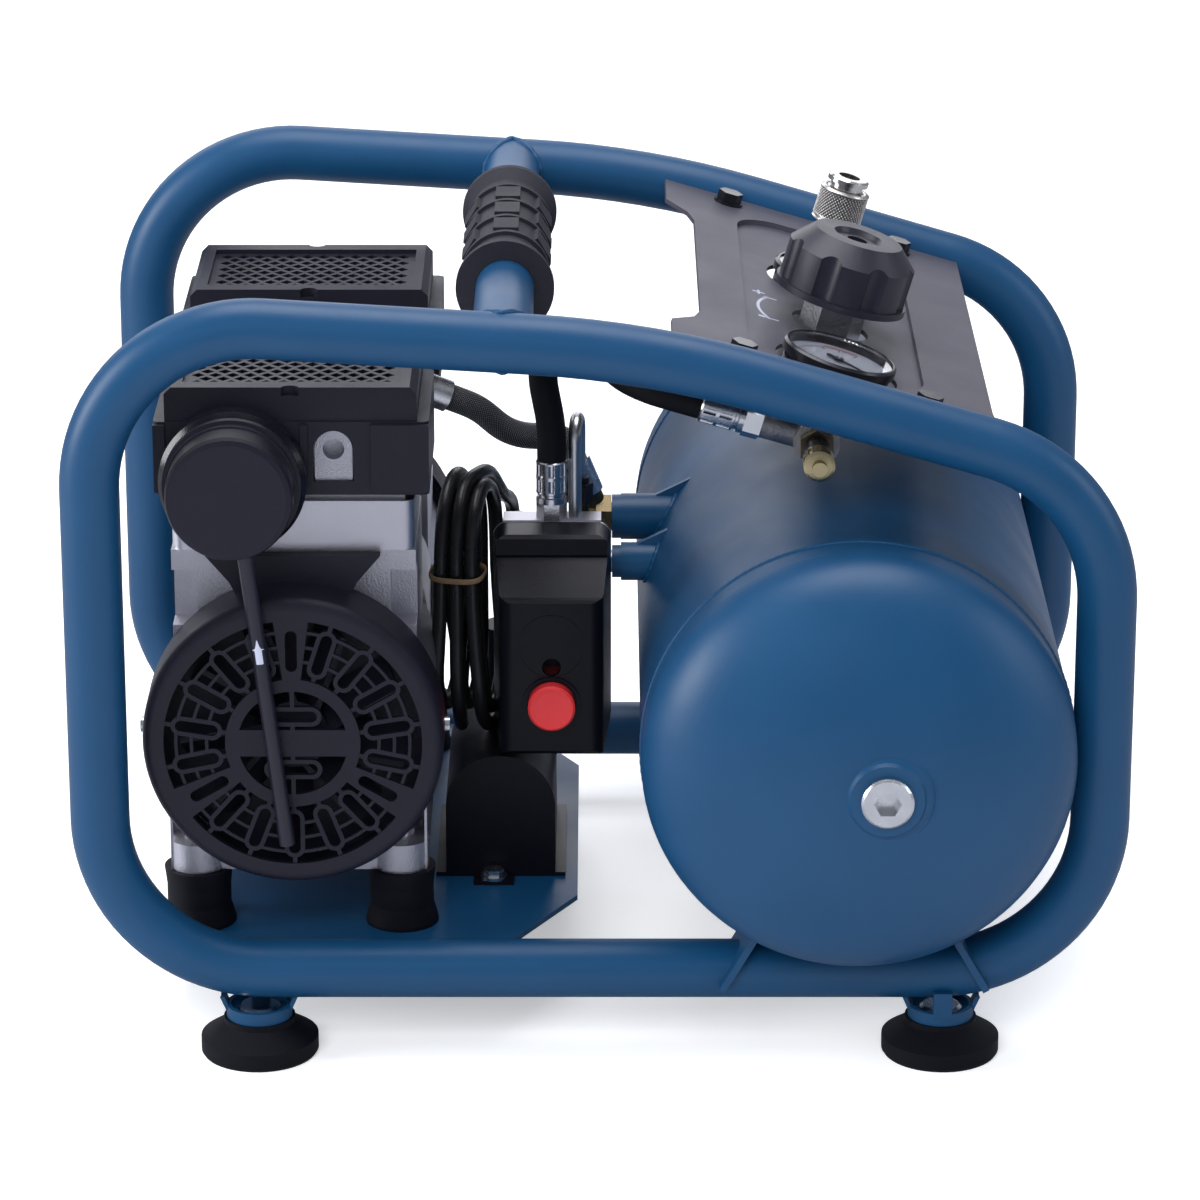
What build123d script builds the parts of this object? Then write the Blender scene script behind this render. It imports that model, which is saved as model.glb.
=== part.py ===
from build123d import *
import math
import os

# Portable twin-cylinder, oil-free air compressor in a tubular roll-bar frame.
# Millimetres, +Z up, X across the machine, Y from the front (-) to the rear (+).
# The origin is on the floor, under the middle of the frame.

# ---------------------------------------------------------------- driving sizes
# Roll bars: two closed loops of round tube, one in front and one behind.
TUBE_RADIUS = 12.7
LOOP_HALF_WIDTH = 214.6
LOOP_HALF_SPAN = 149.0
LOOP_LEFT_HEIGHT = 331.0
LOOP_CORNER_RADIUS = 70.0
LOOP_CROWN_X = 21.3
LOOP_CROWN_RADIUS = 450.0
LOOP_LEFT_SLOPE = 3.45
LOOP_RIGHT_SLOPE = 16.43

# Feet: a rubber disc under a steel cup with three ears welded to the tube.
FOOT_X = 148.0
FOOT_RADIUS = 25.5
FOOT_RIM_HEIGHT = 8.0
FOOT_NECK_RADIUS = 15.5
FOOT_NECK_HEIGHT = 17.0
CUP_RADIUS = 14.3
CUP_WALL = 2.0
CUP_HEIGHT = 5.5
EAR_RISE = 3.4

# Base plate and the four rubber motor mounts on it.
PLATE_THICKNESS = 2.5
PLATE_RISE = 3.9
PLATE_LEFT = -192.0
PLATE_RIGHT = -10.0
PLATE_SHOULDER = 81.0
PLATE_CHAMFER = 32.0
PLATE_LIP = 11.0
MOUNT_SPREAD_X = 89.0
MOUNT_SPREAD_Y = 218.0
MOUNT_HEIGHT = 26.0
MOUNT_RADIUS = 16.0
MOUNT_WAIST_RADIUS = 14.0

# Motor and pump.
MOTOR_X = -131.5
MOTOR_AXIS_RISE = 70.0
CASE_FACE_Y = 115.0
CASE_INNER_Y = 30.0
CASE_RADIUS = 58.5
CASE_TOP_WIDTH = 105.0
CASE_FOOT_WIDTH = 112.0
CASE_FOOT_HEIGHT = 41.0
CASE_WALL = 5.0
CASE_DECK_RISE = 77.0
CHAMBER_RADIUS = 50.0
CYLINDER_Y = 76.7
CYLINDER_BORE = 27.5
CYLINDER_WALL = 3.0
CYLINDER_BLOCK_HEIGHT = 22.0
CYLINDER_SKIRT = 28.0
VALVE_PLATE_THICKNESS = 3.5
HEAD_WIDTH = 104.0
HEAD_DEPTH = 75.0
HEAD_HEIGHT = 26.0
CRANK_THROW = 6.5
PISTON_CLEARANCE = 0.3
CROWN_THICKNESS = 7.0
CROWN_GAP = 0.5
ROD_THICKNESS = 11.0
ROD_WIDTH = 14.0
ROD_EYE_RADIUS = 19.0
ROD_BORE = 12.5
ECCENTRIC_GAP = 0.3
ECCENTRIC_RADIUS = 14.0
ECCENTRIC_THICKNESS = 11.0
SHAFT_RADIUS = 7.5
SHAFT_END_RADIUS = 5.5
SHAFT_STEP_Y = 58.0
BEARING_RADIUS = 17.5
BEARING_WIDTH = 9.0
STATOR_WIDTH = 108.0
STATOR_BORE = 31.0
AIR_GAP = 0.5
WINDING_RADIUS = 47.0
WINDING_LENGTH = 8.0

# Fans and fan covers.
COVER_RADIUS = 64.7
COVER_DEPTH = 30.0
COVER_WALL = 2.4
COVER_EDGE_RADIUS = 5.0
GRILLE_RADIUS = 55.4
GRILLE_HUB_RADIUS = 29.0
GRILLE_WINDOW_RADIUS = 23.5
SPOKE_WIDTH = 15.0
FINGER_SLOT_WIDTH = 5.0
FINGER_WALL = 1.9
FAN_RADIUS = 49.0
FAN_HUB_RADIUS = 15.0
FAN_WIDTH = 16.0
FAN_BLADES = 9

# Black covers over the two cylinder heads.
HOOD_LENGTH = 79.2
HOOD_WIDTH = 117.3
HOOD_TOP_WIDTH = 107.4
HOOD_HEIGHT = 47.5
HOOD_STEP_DROP = 15.0
HOOD_WALL = 2.5
MESH_PITCH_X = 7.4
MESH_PITCH_Y = 5.4
MESH_COLUMNS = 12
MESH_ROWS = 10
MESH_HOLE = 5.9

# Air filter and its hanging intake tube.
FILTER_X = -156.0
FILTER_RISE = 9.2
FILTER_RING_RADIUS = 31.5
FILTER_CAP_RADIUS = 27.2
FILTER_RING_DEPTH = 14.5
FILTER_CAP_DEPTH = 23.0
FILTER_SPIGOT_RADIUS = 8.0
INTAKE_TUBE_RADIUS = 3.4
INTAKE_TUBE_DROP = 130.0
INTAKE_TUBE_SHIFT = 15.6

# Air tank, lying along Y on four gussets.
TANK_RADIUS = 92.2
TANK_WALL = 2.0
TANK_SIDE_GAP = 0.2
TANK_SEAT_GAP = 1.2
TANK_SEAM_Y = 160.0
HEAD_FLANGE = 15.0
HEAD_DISH = 47.0
PLUG_SHIFT_X = 9.5
BUNG_RADIUS = 15.5
BUNG_PROUD = 1.8
PLUG_RADIUS = 11.0
PLUG_HEAD = 3.5
PLUG_THREAD_RADIUS = 8.0
GUSSET_THICKNESS = 3.0
GUSSET_LENGTH = 33.0
GUSSET_SPREAD = 53.0
GUSSET_TILT = 30.0

# Tank ports, pressure switch and what joins them.
SWITCH_PORT_Y = -6.0
SWITCH_PORT_RISE = 31.8
SWITCH_PORT_RADIUS = 8.6
SWITCH_PORT_NECK = 7.3
VALVE_PORT_Y = 24.0
VALVE_PORT_RISE = 43.3
VALVE_PORT_RADIUS = 10.5
PORT_MOUTH_X = 5.4
SWITCH_X = -21.5
SWITCH_FRONT_Y = -60.0
SWITCH_BACK_Y = -12.0
SWITCH_BASE_THICKNESS = 14.0
SWITCH_BOTTOM_Z = 103.5
SWITCH_RIDGE_Z = 176.0
SWITCH_BAND_Z = 188.5
SWITCH_BAND_Y = -33.0
SWITCH_TOP_Z = 197.0
SWITCH_FRONT_WIDTH = 45.5
SWITCH_BACK_WIDTH = 53.0
SWITCH_WALL = 2.2
SWITCH_CORNER_RADIUS = 6.0
SWITCH_RING_RADIUS = 14.9
SWITCH_RING_Z = 154.5
BUTTON_RADIUS = 10.5
BUTTON_Z = 127.7
BUTTON_PROUD = 7.0
BUTTON_CLEARANCE = 0.3

# Sloped control panel with regulator, gauges, coupler and safety valve.
PANEL_TOP = 3.0
PANEL_THICKNESS = 2.0
PANEL_LEFT = -64.8
PANEL_WAIST = -51.7
PANEL_RIGHT = 78.0
PANEL_TAB_INNER = 100.0
PANEL_TAB_SLOPE = 13.0
PANEL_RECESS_LEFT = -31.0
PANEL_RECESS_RIGHT = 48.0
PANEL_RECESS_HALF = 112.0
PANEL_RECESS_DEPTH = 2.5
PANEL_SCREW_LEFT = -34.5
PANEL_SCREW_RIGHT = 47.5
PANEL_SCREW_Y = 125.0
MANIFOLD_SHIFT = 9.3
MANIFOLD_DEPTH = 30.0
MANIFOLD_RADIUS = 10.0
REGULATOR_Y = -30.0
REGULATOR_BODY_RADIUS = 19.0
BONNET_RADIUS = 14.0
TANK_GAUGE_Y = -95.0
OUTLET_GAUGE_Y = 32.0
GAUGE_RADIUS = 25.0
GAUGE_TOP = 8.0
GAUGE_DEPTH = 16.0
GAUGE_WALL = 1.8
KNOB_SKIRT_RADIUS = 29.5
KNOB_BODY_RADIUS = 28.3
KNOB_GROOVE_RADIUS = 26.0
KNOB_BOTTOM = 14.5
KNOB_SKIRT = 3.0
KNOB_SIDE = 17.0
KNOB_BEVEL = 8.5
KNOB_LOBES = 8
COUPLER_Y = 68.0
COUPLER_RADIUS = 8.5
COUPLER_TOP = 44.4
COUPLER_SOCKET_RADIUS = 5.0
COUPLER_SOCKET_DEPTH = 24.0
SLEEVE_RADIUS = 11.4
SLEEVE_BOTTOM = 22.4
SLEEVE_LENGTH = 16.0
SLEEVE_CLEARANCE = 0.05
SAFETY_VALVE_LENGTH = 36.0
SAFETY_VALVE_RADIUS = 6.7

# Carrying handle between the two loops.
HANDLE_X = -41.0
GRIP_HALF_LENGTH = 66.0
GRIP_FLANGE_RADIUS = 21.3
GRIP_RADIUS = 17.6
GRIP_BORE_CLEARANCE = 0.05

# Hoses and cord.
HOSE_RADIUS = 6.5
BRAID_RADIUS = 6.0
UNLOADER_RADIUS = 3.0
CORD_RADIUS = 3.25

# ---------------------------------------------------------------- worked-out places
FOOT_STACK = FOOT_NECK_HEIGHT + CUP_HEIGHT + EAR_RISE
TUBE_Z = FOOT_STACK + TUBE_RADIUS
PLATE_BOTTOM = TUBE_Z + PLATE_RISE
PLATE_TOP = PLATE_BOTTOM + PLATE_THICKNESS
CASE_BOTTOM = PLATE_TOP + MOUNT_HEIGHT
MOTOR_Z = CASE_BOTTOM + MOTOR_AXIS_RISE
DECK_Z = MOTOR_Z + CASE_DECK_RISE
BLOCK_TOP = DECK_Z + CYLINDER_BLOCK_HEIGHT
HEAD_BOTTOM = BLOCK_TOP + VALVE_PLATE_THICKNESS
HOOD_FRONT_Y = CYLINDER_Y + HOOD_LENGTH / 2
COVER_FRONT_Y = CASE_FACE_Y + COVER_DEPTH
FILTER_Z = HEAD_BOTTOM + FILTER_RISE
TANK_X = LOOP_HALF_WIDTH - TUBE_RADIUS - TANK_SIDE_GAP - TANK_RADIUS
TANK_Z = TUBE_Z + TUBE_RADIUS + TANK_SEAT_GAP + TANK_RADIUS
TANK_TIP_Y = TANK_SEAM_Y + HEAD_FLANGE + HEAD_DISH
BUNG_FACE_Y = TANK_TIP_Y + BUNG_PROUD
SWITCH_PORT_Z = TANK_Z + SWITCH_PORT_RISE
VALVE_PORT_Z = TANK_Z + VALVE_PORT_RISE
SWITCH_BASE_Y = SWITCH_BACK_Y + SWITCH_BASE_THICKNESS
MOUNT_PLACES = [
    (MOTOR_X + sx * MOUNT_SPREAD_X / 2, sy * MOUNT_SPREAD_Y / 2)
    for sx in (-1, 1)
    for sy in (-1, 1)
]


def loop_corners():
    """Corner points (x, z) of a roll-bar loop's centreline, clockwise from bottom left."""
    left_slope = math.tan(math.radians(LOOP_LEFT_SLOPE))
    right_slope = math.tan(math.radians(LOOP_RIGHT_SLOPE))
    crown_z = LOOP_LEFT_HEIGHT - left_slope * (LOOP_CROWN_X + LOOP_HALF_WIDTH)
    right_z = crown_z - right_slope * (LOOP_HALF_WIDTH - LOOP_CROWN_X)
    return [
        (-LOOP_HALF_WIDTH, TUBE_Z),
        (-LOOP_HALF_WIDTH, LOOP_LEFT_HEIGHT),
        (LOOP_CROWN_X, crown_z),
        (LOOP_HALF_WIDTH, right_z),
        (LOOP_HALF_WIDTH, TUBE_Z),
    ]


def top_tube_z(x):
    """Height of the two straight top runs' centreline above the floor, at x."""
    corners = loop_corners()
    crown_x, crown_z = corners[2]
    slope = LOOP_LEFT_SLOPE if x < crown_x else LOOP_RIGHT_SLOPE
    return crown_z - (x - crown_x) * math.tan(math.radians(slope))


HANDLE_Z = loop_corners()[2][1] + (LOOP_CROWN_X - HANDLE_X) * math.tan(math.radians(LOOP_LEFT_SLOPE))

# The panel's own frame: x runs down the slope, z is square to the sheet, and z = 0 is the
# plane through the two sloping tubes' centrelines.
PANEL_DATUM_X = 91.9
PANEL_TILT = math.radians(LOOP_RIGHT_SLOPE)
PANEL_PLANE = Plane(
    origin=(PANEL_DATUM_X, 0, top_tube_z(PANEL_DATUM_X)),
    x_dir=(math.cos(PANEL_TILT), 0, -math.sin(PANEL_TILT)),
    z_dir=(math.sin(PANEL_TILT), 0, math.cos(PANEL_TILT)),
)
PARTS = {}


# ---------------------------------------------------------------- helpers
STANDING = (Align.CENTER, Align.CENTER, Align.MIN)


def post(radius, start, direction, length):
    """A round bar from start, along direction, for length."""
    plane = Plane(origin=start, z_dir=direction)
    return plane * Cylinder(radius, length, align=STANDING)


def hex_post(across_flats, start, direction, length):
    """A hexagonal bar from start, along direction, for length."""
    plane = Plane(origin=start, z_dir=direction)
    return extrude(plane * RegularPolygon(across_flats / 2, 6, major_radius=False), length)


def turned(profile, start=(0, 0, 0), direction=(0, 0, 1)):
    """A body turned from (radius, height) points, standing on start along direction."""
    section = Plane.XZ * make_face(Polyline(*profile, close=True))
    return Plane(origin=start, z_dir=direction) * revolve(section, Axis.Z)


def slab(x_range, y_range, z_range):
    """A rectangular block between two values on each axis."""
    size = [high - low for low, high in (x_range, y_range, z_range)]
    middle = [(high + low) / 2 for low, high in (x_range, y_range, z_range)]
    return Pos(*middle) * Box(*size)


def pipe(points, radius, radii):
    """A round bar or hose along straight runs joined by tangent arcs."""
    route = FilletPolyline(*points, radius=radii)
    return sweep(Plane(route @ 0, z_dir=route % 0) * Circle(radius), path=route)


def easy_radii(points):
    """Arc radii for a hose: 0.45 of the shorter run over the tangent of half the turn."""
    radii = []
    for before, corner, after in zip(points, points[1:], points[2:]):
        run_in = Vector(*corner) - Vector(*before)
        run_out = Vector(*after) - Vector(*corner)
        half_turn = math.radians(run_in.get_angle(run_out)) / 2
        radii.append(0.45 * min(run_in.length, run_out.length) / math.tan(half_turn))
    return radii


def flipped(shape):
    """The same piece on the rear half of the machine."""
    return mirror(shape, about=Plane.XZ)


def joined(shapes):
    """All shapes fused into one."""
    shapes = list(shapes)
    result = shapes[0]
    for shape in shapes[1:]:
        result += shape
    return result


def group(shapes):
    """Separate solids kept in one sub-part."""
    return Compound(children=[solid for shape in shapes for solid in shape.solids()])


# ---------------------------------------------------------------- roll bars and handle
def roll_bar(y):
    """One closed loop of tube standing in the plane at y."""
    corners = [(x, y, z) for x, z in loop_corners()]
    radii = [LOOP_CORNER_RADIUS] * len(corners)
    radii[2] = LOOP_CROWN_RADIUS
    route = FilletPolyline(*corners, radius=radii, close=True)
    return sweep(Plane(route @ 0, z_dir=route % 0) * Circle(TUBE_RADIUS), path=route)


bar_front = roll_bar(-LOOP_HALF_SPAN)
bar_rear = roll_bar(LOOP_HALF_SPAN)
both_bars = bar_front + bar_rear
PARTS["roll_bar_front"] = bar_front
PARTS["roll_bar_rear"] = bar_rear

handle = post(TUBE_RADIUS, (HANDLE_X, -LOOP_HALF_SPAN, HANDLE_Z), (0, 1, 0), 2 * LOOP_HALF_SPAN)
PARTS["handle_tube"] = handle - both_bars


def handle_grip():
    """Rubber sleeve with a flange at each end and three ribbed bands broken by lugs."""
    half = GRIP_HALF_LENGTH
    bore = TUBE_RADIUS + GRIP_BORE_CLEARANCE
    flange = 4.0
    waist = 7.0
    profile = [(bore, -half), (GRIP_FLANGE_RADIUS, -half), (GRIP_FLANGE_RADIUS, flange - half)]
    profile += [(GRIP_RADIUS, flange + waist - half), (GRIP_RADIUS, half - flange - waist)]
    profile += [(GRIP_FLANGE_RADIUS, half - flange), (GRIP_FLANGE_RADIUS, half), (bore, half)]
    middle = (HANDLE_X, 0, HANDLE_Z)
    grip = turned(profile, middle, (0, 1, 0))
    band_pitch = 27.0
    band_width = 3.0
    band_height = 1.6
    for step in (-1.5, -0.5, 0.5, 1.5):
        start = (HANDLE_X, step * band_pitch - band_width / 2, HANDLE_Z)
        ring = post(GRIP_RADIUS + band_height, start, (0, 1, 0), band_width)
        grip += ring - post(bore, start, (0, 1, 0), band_width)
    pad_length = 17.0
    pad_width = 11.0
    for step in (-1, 0, 1):
        for turn in range(6):
            pad = slab((-pad_width / 2, pad_width / 2), (-pad_length / 2, pad_length / 2),
                       (bore + 1, GRIP_RADIUS + band_height))
            pad = Rot(Y=turn * 60) * pad
            grip += Pos(HANDLE_X, step * band_pitch, HANDLE_Z) * pad
    return grip


PARTS["handle_grip"] = handle_grip()


# ---------------------------------------------------------------- feet
FOOT_SCREW_RADIUS = 3.0
FOOT_SCREW_HEAD = 9.3


def foot_places():
    """Foot centres (x, y), with the side of the cup that its third ear stands on."""
    for side in (-1, 1):
        for end in (-1, 1):
            yield side * FOOT_X, end * LOOP_HALF_SPAN, -side


def rubber_foot(x, y):
    """Moulded disc with a coned shoulder, a neck and a hole for its screw."""
    shoulder = FOOT_NECK_HEIGHT - 3.5
    profile = [(FOOT_SCREW_RADIUS + 0.1, 0), (FOOT_RADIUS - 1, 0), (FOOT_RADIUS, 1.5)]
    profile += [(FOOT_RADIUS, FOOT_RIM_HEIGHT), (FOOT_NECK_RADIUS + 1.5, shoulder)]
    profile += [(FOOT_NECK_RADIUS, shoulder + 1), (FOOT_NECK_RADIUS, FOOT_NECK_HEIGHT)]
    profile += [(FOOT_SCREW_RADIUS + 0.1, FOOT_NECK_HEIGHT)]
    return turned(profile, (x, y, 0))


def foot_cup(x, y, third_ear):
    """Pressed steel cup whose ears flare up to the tube above it."""
    inner = CUP_RADIUS - CUP_WALL
    hole = FOOT_SCREW_RADIUS + 0.1
    profile = [(hole, 0), (CUP_RADIUS, 0), (CUP_RADIUS, CUP_HEIGHT), (inner, CUP_HEIGHT)]
    profile += [(inner, CUP_WALL), (hole, CUP_WALL)]
    cup = turned(profile)
    rim = CUP_HEIGHT - 2
    tip = CUP_HEIGHT + EAR_RISE + 2
    half_width = 4.0
    for side in (-1, 1):
        outline = [(inner, rim), (CUP_RADIUS, rim), (CUP_RADIUS + 3.2, tip), (inner + 3.2, tip)]
        outline = [(side * radius, height) for radius, height in outline]
        ear = extrude(Plane.XZ * make_face(Polyline(*outline, close=True)), half_width, both=True)
        cup += ear
    reach = CUP_HEIGHT + EAR_RISE + TUBE_RADIUS / 2
    middle_ear = slab((-half_width, half_width), (CUP_RADIUS - 3.3, CUP_RADIUS), (rim, reach))
    cup += Rot(Z=0 if third_ear > 0 else 180) * middle_ear
    tube = post(TUBE_RADIUS, (-50, 0, TUBE_Z - FOOT_NECK_HEIGHT), (1, 0, 0), 100)
    return Pos(x, y, FOOT_NECK_HEIGHT) * (cup - tube)


def foot_screw(x, y):
    """Wide-headed screw that clamps the rubber foot to the floor of its cup."""
    top = FOOT_NECK_HEIGHT + CUP_WALL
    profile = [(0, FOOT_RIM_HEIGHT), (FOOT_SCREW_RADIUS, FOOT_RIM_HEIGHT), (FOOT_SCREW_RADIUS, top)]
    profile += [(FOOT_SCREW_HEAD, top), (FOOT_SCREW_HEAD, top + 2), (FOOT_SCREW_HEAD - 1.5, top + 3)]
    profile += [(0, top + 3)]
    return turned(profile, (x, y, 0))


PARTS["rubber_feet"] = group(rubber_foot(x, y) for x, y, _ in foot_places())
foot_cups = [foot_cup(*place) for place in foot_places()]
zinc_screws = [foot_screw(x, y) for x, y, _ in foot_places()]


# ---------------------------------------------------------------- base plate and mounts
MOUNT_SCREW_RADIUS = 3.0
CASE_BOSS_RADIUS = 12.0
CASE_BOSS_HEIGHT = 13.0


def base_plate():
    """Steel floor welded between the loops, cut off at its right corners, lipped at the left."""
    edge = LOOP_HALF_SPAN - TUBE_RADIUS + 3
    waist = PLATE_RIGHT - PLATE_CHAMFER
    half = [(waist, -edge), (PLATE_RIGHT, -PLATE_SHOULDER)]
    outline = [(PLATE_LEFT, -edge)] + half + [(x, -y) for x, y in reversed(half)] + [(PLATE_LEFT, edge)]
    sheet = make_face(Polyline(*outline, close=True))
    plate = extrude(Plane.XY.offset(PLATE_BOTTOM) * sheet, PLATE_THICKNESS)
    lip_end = edge - 8
    plate += slab((PLATE_LEFT, PLATE_LEFT + PLATE_THICKNESS), (-lip_end, lip_end),
                  (PLATE_BOTTOM - PLATE_LIP, PLATE_TOP))
    for x, y in MOUNT_PLACES:
        plate -= post(MOUNT_SCREW_RADIUS + 0.2, (x, y, PLATE_BOTTOM), (0, 0, 1), PLATE_THICKNESS)
    return plate - both_bars


def rubber_mount(x, y):
    """Waisted rubber buffer between the plate and a crankcase foot."""
    hole = MOUNT_SCREW_RADIUS + 0.2
    profile = [(hole, 0), (MOUNT_RADIUS, 0), (MOUNT_RADIUS, 1.5), (MOUNT_WAIST_RADIUS, 9)]
    profile += [(MOUNT_WAIST_RADIUS, MOUNT_HEIGHT - 8), (MOUNT_WAIST_RADIUS + 1, MOUNT_HEIGHT)]
    profile += [(hole, MOUNT_HEIGHT)]
    return turned(profile, (x, y, PLATE_TOP))


def mount_screw(x, y):
    """Hexagon screw and nut through the crankcase foot, the buffer and the plate."""
    head_z = CASE_BOTTOM + CASE_BOSS_HEIGHT
    nut_z = PLATE_BOTTOM - 5
    shank = post(MOUNT_SCREW_RADIUS, (x, y, nut_z - 2), (0, 0, 1), head_z - nut_z + 2)
    return shank + hex_post(10, (x, y, head_z), (0, 0, 1), 4) + hex_post(10, (x, y, nut_z), (0, 0, 1), 5)


PARTS["base_plate"] = base_plate()
PARTS["rubber_mounts"] = group(rubber_mount(x, y) for x, y in MOUNT_PLACES)
zinc_screws += [mount_screw(x, y) for x, y in MOUNT_PLACES]


# ---------------------------------------------------------------- crankcases and cylinders
def crankcase():
    """Front crankcase casting: round chamber, cylinder deck above, bossed feet below."""
    length = CASE_FACE_Y - CASE_INNER_Y
    inner_face = (MOTOR_X, -CASE_INNER_Y, MOTOR_Z)
    bearing_y = CASE_INNER_Y + WINDING_LENGTH + 2
    chamber_y = bearing_y + BEARING_WIDTH
    deck_half = CASE_TOP_WIDTH / 2
    deck_y = (-CYLINDER_Y - HEAD_DEPTH / 2, HEAD_DEPTH / 2 - CYLINDER_Y)
    foot_half = CASE_FOOT_WIDTH / 2
    case = post(CASE_RADIUS, inner_face, (0, -1, 0), length)
    case += slab((MOTOR_X - deck_half, MOTOR_X + deck_half), deck_y, (MOTOR_Z, DECK_Z))
    case += slab((MOTOR_X - foot_half, MOTOR_X + foot_half), (-CASE_FACE_Y, -CASE_INNER_Y),
                 (CASE_BOTTOM, CASE_BOTTOM + CASE_FOOT_HEIGHT))
    for x, y in MOUNT_PLACES:
        if y < 0:
            case += post(CASE_BOSS_RADIUS, (x, y, CASE_BOTTOM), (0, 0, 1), CASE_BOSS_HEIGHT)
            above_boss = CASE_BOTTOM + CASE_BOSS_HEIGHT
            case -= post(CASE_BOSS_RADIUS, (x, y, above_boss), (0, 0, 1), CASE_FOOT_HEIGHT)
            case -= post(MOUNT_SCREW_RADIUS + 0.2, (x, y, CASE_BOTTOM), (0, 0, 1), CASE_BOSS_HEIGHT)
    pocket_width = 11.0
    pocket_z = (DECK_Z - 34, DECK_Z - 9)
    for side in (-1, 1):
        edge = MOTOR_X + side * deck_half
        case -= slab(sorted((edge, edge - side * pocket_width)), (deck_y[0], deck_y[0] + 14), pocket_z)
    chamber_front = CASE_FACE_Y - CASE_WALL
    case -= post(CHAMBER_RADIUS, (MOTOR_X, -chamber_y, MOTOR_Z), (0, -1, 0), chamber_front - chamber_y)
    case -= post(CHAMBER_RADIUS, inner_face, (0, -1, 0), bearing_y - CASE_INNER_Y)
    case -= post(BEARING_RADIUS, inner_face, (0, -1, 0), chamber_y - CASE_INNER_Y)
    case -= post(SHAFT_END_RADIUS + 2, inner_face, (0, -1, 0), length)
    skirt = CYLINDER_BORE + CYLINDER_WALL + 0.1
    case -= post(skirt, (MOTOR_X, -CYLINDER_Y, MOTOR_Z), (0, 0, 1), DECK_Z - MOTOR_Z)
    return case


def cylinder_block():
    """Cylinder casting: a square flange on the deck and a sleeve hanging into the case."""
    half = HEAD_WIDTH / 2
    block = slab((MOTOR_X - half, MOTOR_X + half), (-CYLINDER_Y - HEAD_DEPTH / 2, HEAD_DEPTH / 2 - CYLINDER_Y),
                 (DECK_Z, BLOCK_TOP))
    block = fillet(block.edges().filter_by(Axis.Z), 5)
    foot = (MOTOR_X, -CYLINDER_Y, DECK_Z - CYLINDER_SKIRT)
    block += post(CYLINDER_BORE + CYLINDER_WALL, foot, (0, 0, 1), CYLINDER_SKIRT)
    return block - post(CYLINDER_BORE, foot, (0, 0, 1), CYLINDER_SKIRT + CYLINDER_BLOCK_HEIGHT)


HEAD_INSET = 4.0
PORT_RADIUS = 4.0
LUG_SHIFT_X = 18.0
LUG_RISE = 20.0
LUG_RADIUS = 8.0
LUG_HOLE_RADIUS = 4.6


def valve_plate():
    """Steel plate between cylinder and head, with an inlet and an outlet port."""
    half = HEAD_WIDTH / 2 - HEAD_INSET
    reach = HEAD_DEPTH / 2 - HEAD_INSET
    plate = slab((MOTOR_X - half, MOTOR_X + half), (-CYLINDER_Y - reach, reach - CYLINDER_Y),
                 (BLOCK_TOP, HEAD_BOTTOM))
    for side in (-1, 1):
        plate -= post(PORT_RADIUS, (MOTOR_X + side * 11, -CYLINDER_Y, BLOCK_TOP), (0, 0, 1),
                      VALVE_PLATE_THICKNESS)
    return plate


def cylinder_head():
    """Finned aluminium head with inlet and outlet chambers and a threaded lug at the front."""
    half = HEAD_WIDTH / 2 - HEAD_INSET
    reach = HEAD_DEPTH / 2 - HEAD_INSET
    top = HEAD_BOTTOM + HEAD_HEIGHT
    front = -CYLINDER_Y - reach
    head = slab((MOTOR_X - half, MOTOR_X + half), (front, reach - CYLINDER_Y), (HEAD_BOTTOM, top))
    fin_pitch = 12.0
    fin_gap = 8.0
    fin_depth = 12.0
    for step in range(-3, 4):
        middle = MOTOR_X + step * fin_pitch
        gap_x = (middle - fin_gap / 2, middle + fin_gap / 2)
        head -= slab(gap_x, (front, reach - CYLINDER_Y), (top - fin_depth, top))
    for side in (-1, 1):
        chamber_x = (MOTOR_X + side * 19 - 15, MOTOR_X + side * 19 + 15)
        head -= slab(chamber_x, (-CYLINDER_Y - 20, 20 - CYLINDER_Y), (HEAD_BOTTOM, HEAD_BOTTOM + 9))
    lug_x = MOTOR_X + LUG_SHIFT_X
    lug_z = HEAD_BOTTOM + LUG_RISE
    lug_front = -HOOD_FRONT_Y + HOOD_WALL - 1.0
    lug = slab((lug_x - LUG_RADIUS, lug_x + LUG_RADIUS), (lug_front, front + 6), (HEAD_BOTTOM + 6, lug_z))
    lug += post(LUG_RADIUS, (lug_x, lug_front, lug_z), (0, 1, 0), front + 6 - lug_front)
    head += lug
    return head - post(LUG_HOLE_RADIUS, (lug_x, lug_front, lug_z), (0, 1, 0), 7)


case_front = crankcase()
PARTS["crankcases"] = group([case_front, flipped(case_front)])
block_front = cylinder_block()
PARTS["cylinders"] = group([block_front, flipped(block_front)])
plate_front = valve_plate()
PARTS["valve_plates"] = group([plate_front, flipped(plate_front)])
head_front = cylinder_head()
PARTS["cylinder_heads"] = group([head_front, flipped(head_front)])

# Delivery pipe that joins the two heads and carries the outlet elbow for the braided hose.
CROSS_PIPE_X = MOTOR_X + HEAD_WIDTH / 2 - HEAD_INSET - 12
CROSS_PIPE_Z = HEAD_BOTTOM + 13
CROSS_PIPE_RADIUS = 6.0
OUTLET_X = MOTOR_X + HOOD_WIDTH / 2 - 6
pipe_end = CYLINDER_Y - HEAD_DEPTH / 2 + HEAD_INSET
cross_pipe = post(CROSS_PIPE_RADIUS, (CROSS_PIPE_X, -pipe_end, CROSS_PIPE_Z), (0, 1, 0), 2 * pipe_end)
cross_pipe += post(CROSS_PIPE_RADIUS, (CROSS_PIPE_X, 0, CROSS_PIPE_Z), (1, 0, 0), OUTLET_X - CROSS_PIPE_X)
PARTS["cross_pipe"] = cross_pipe


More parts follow.
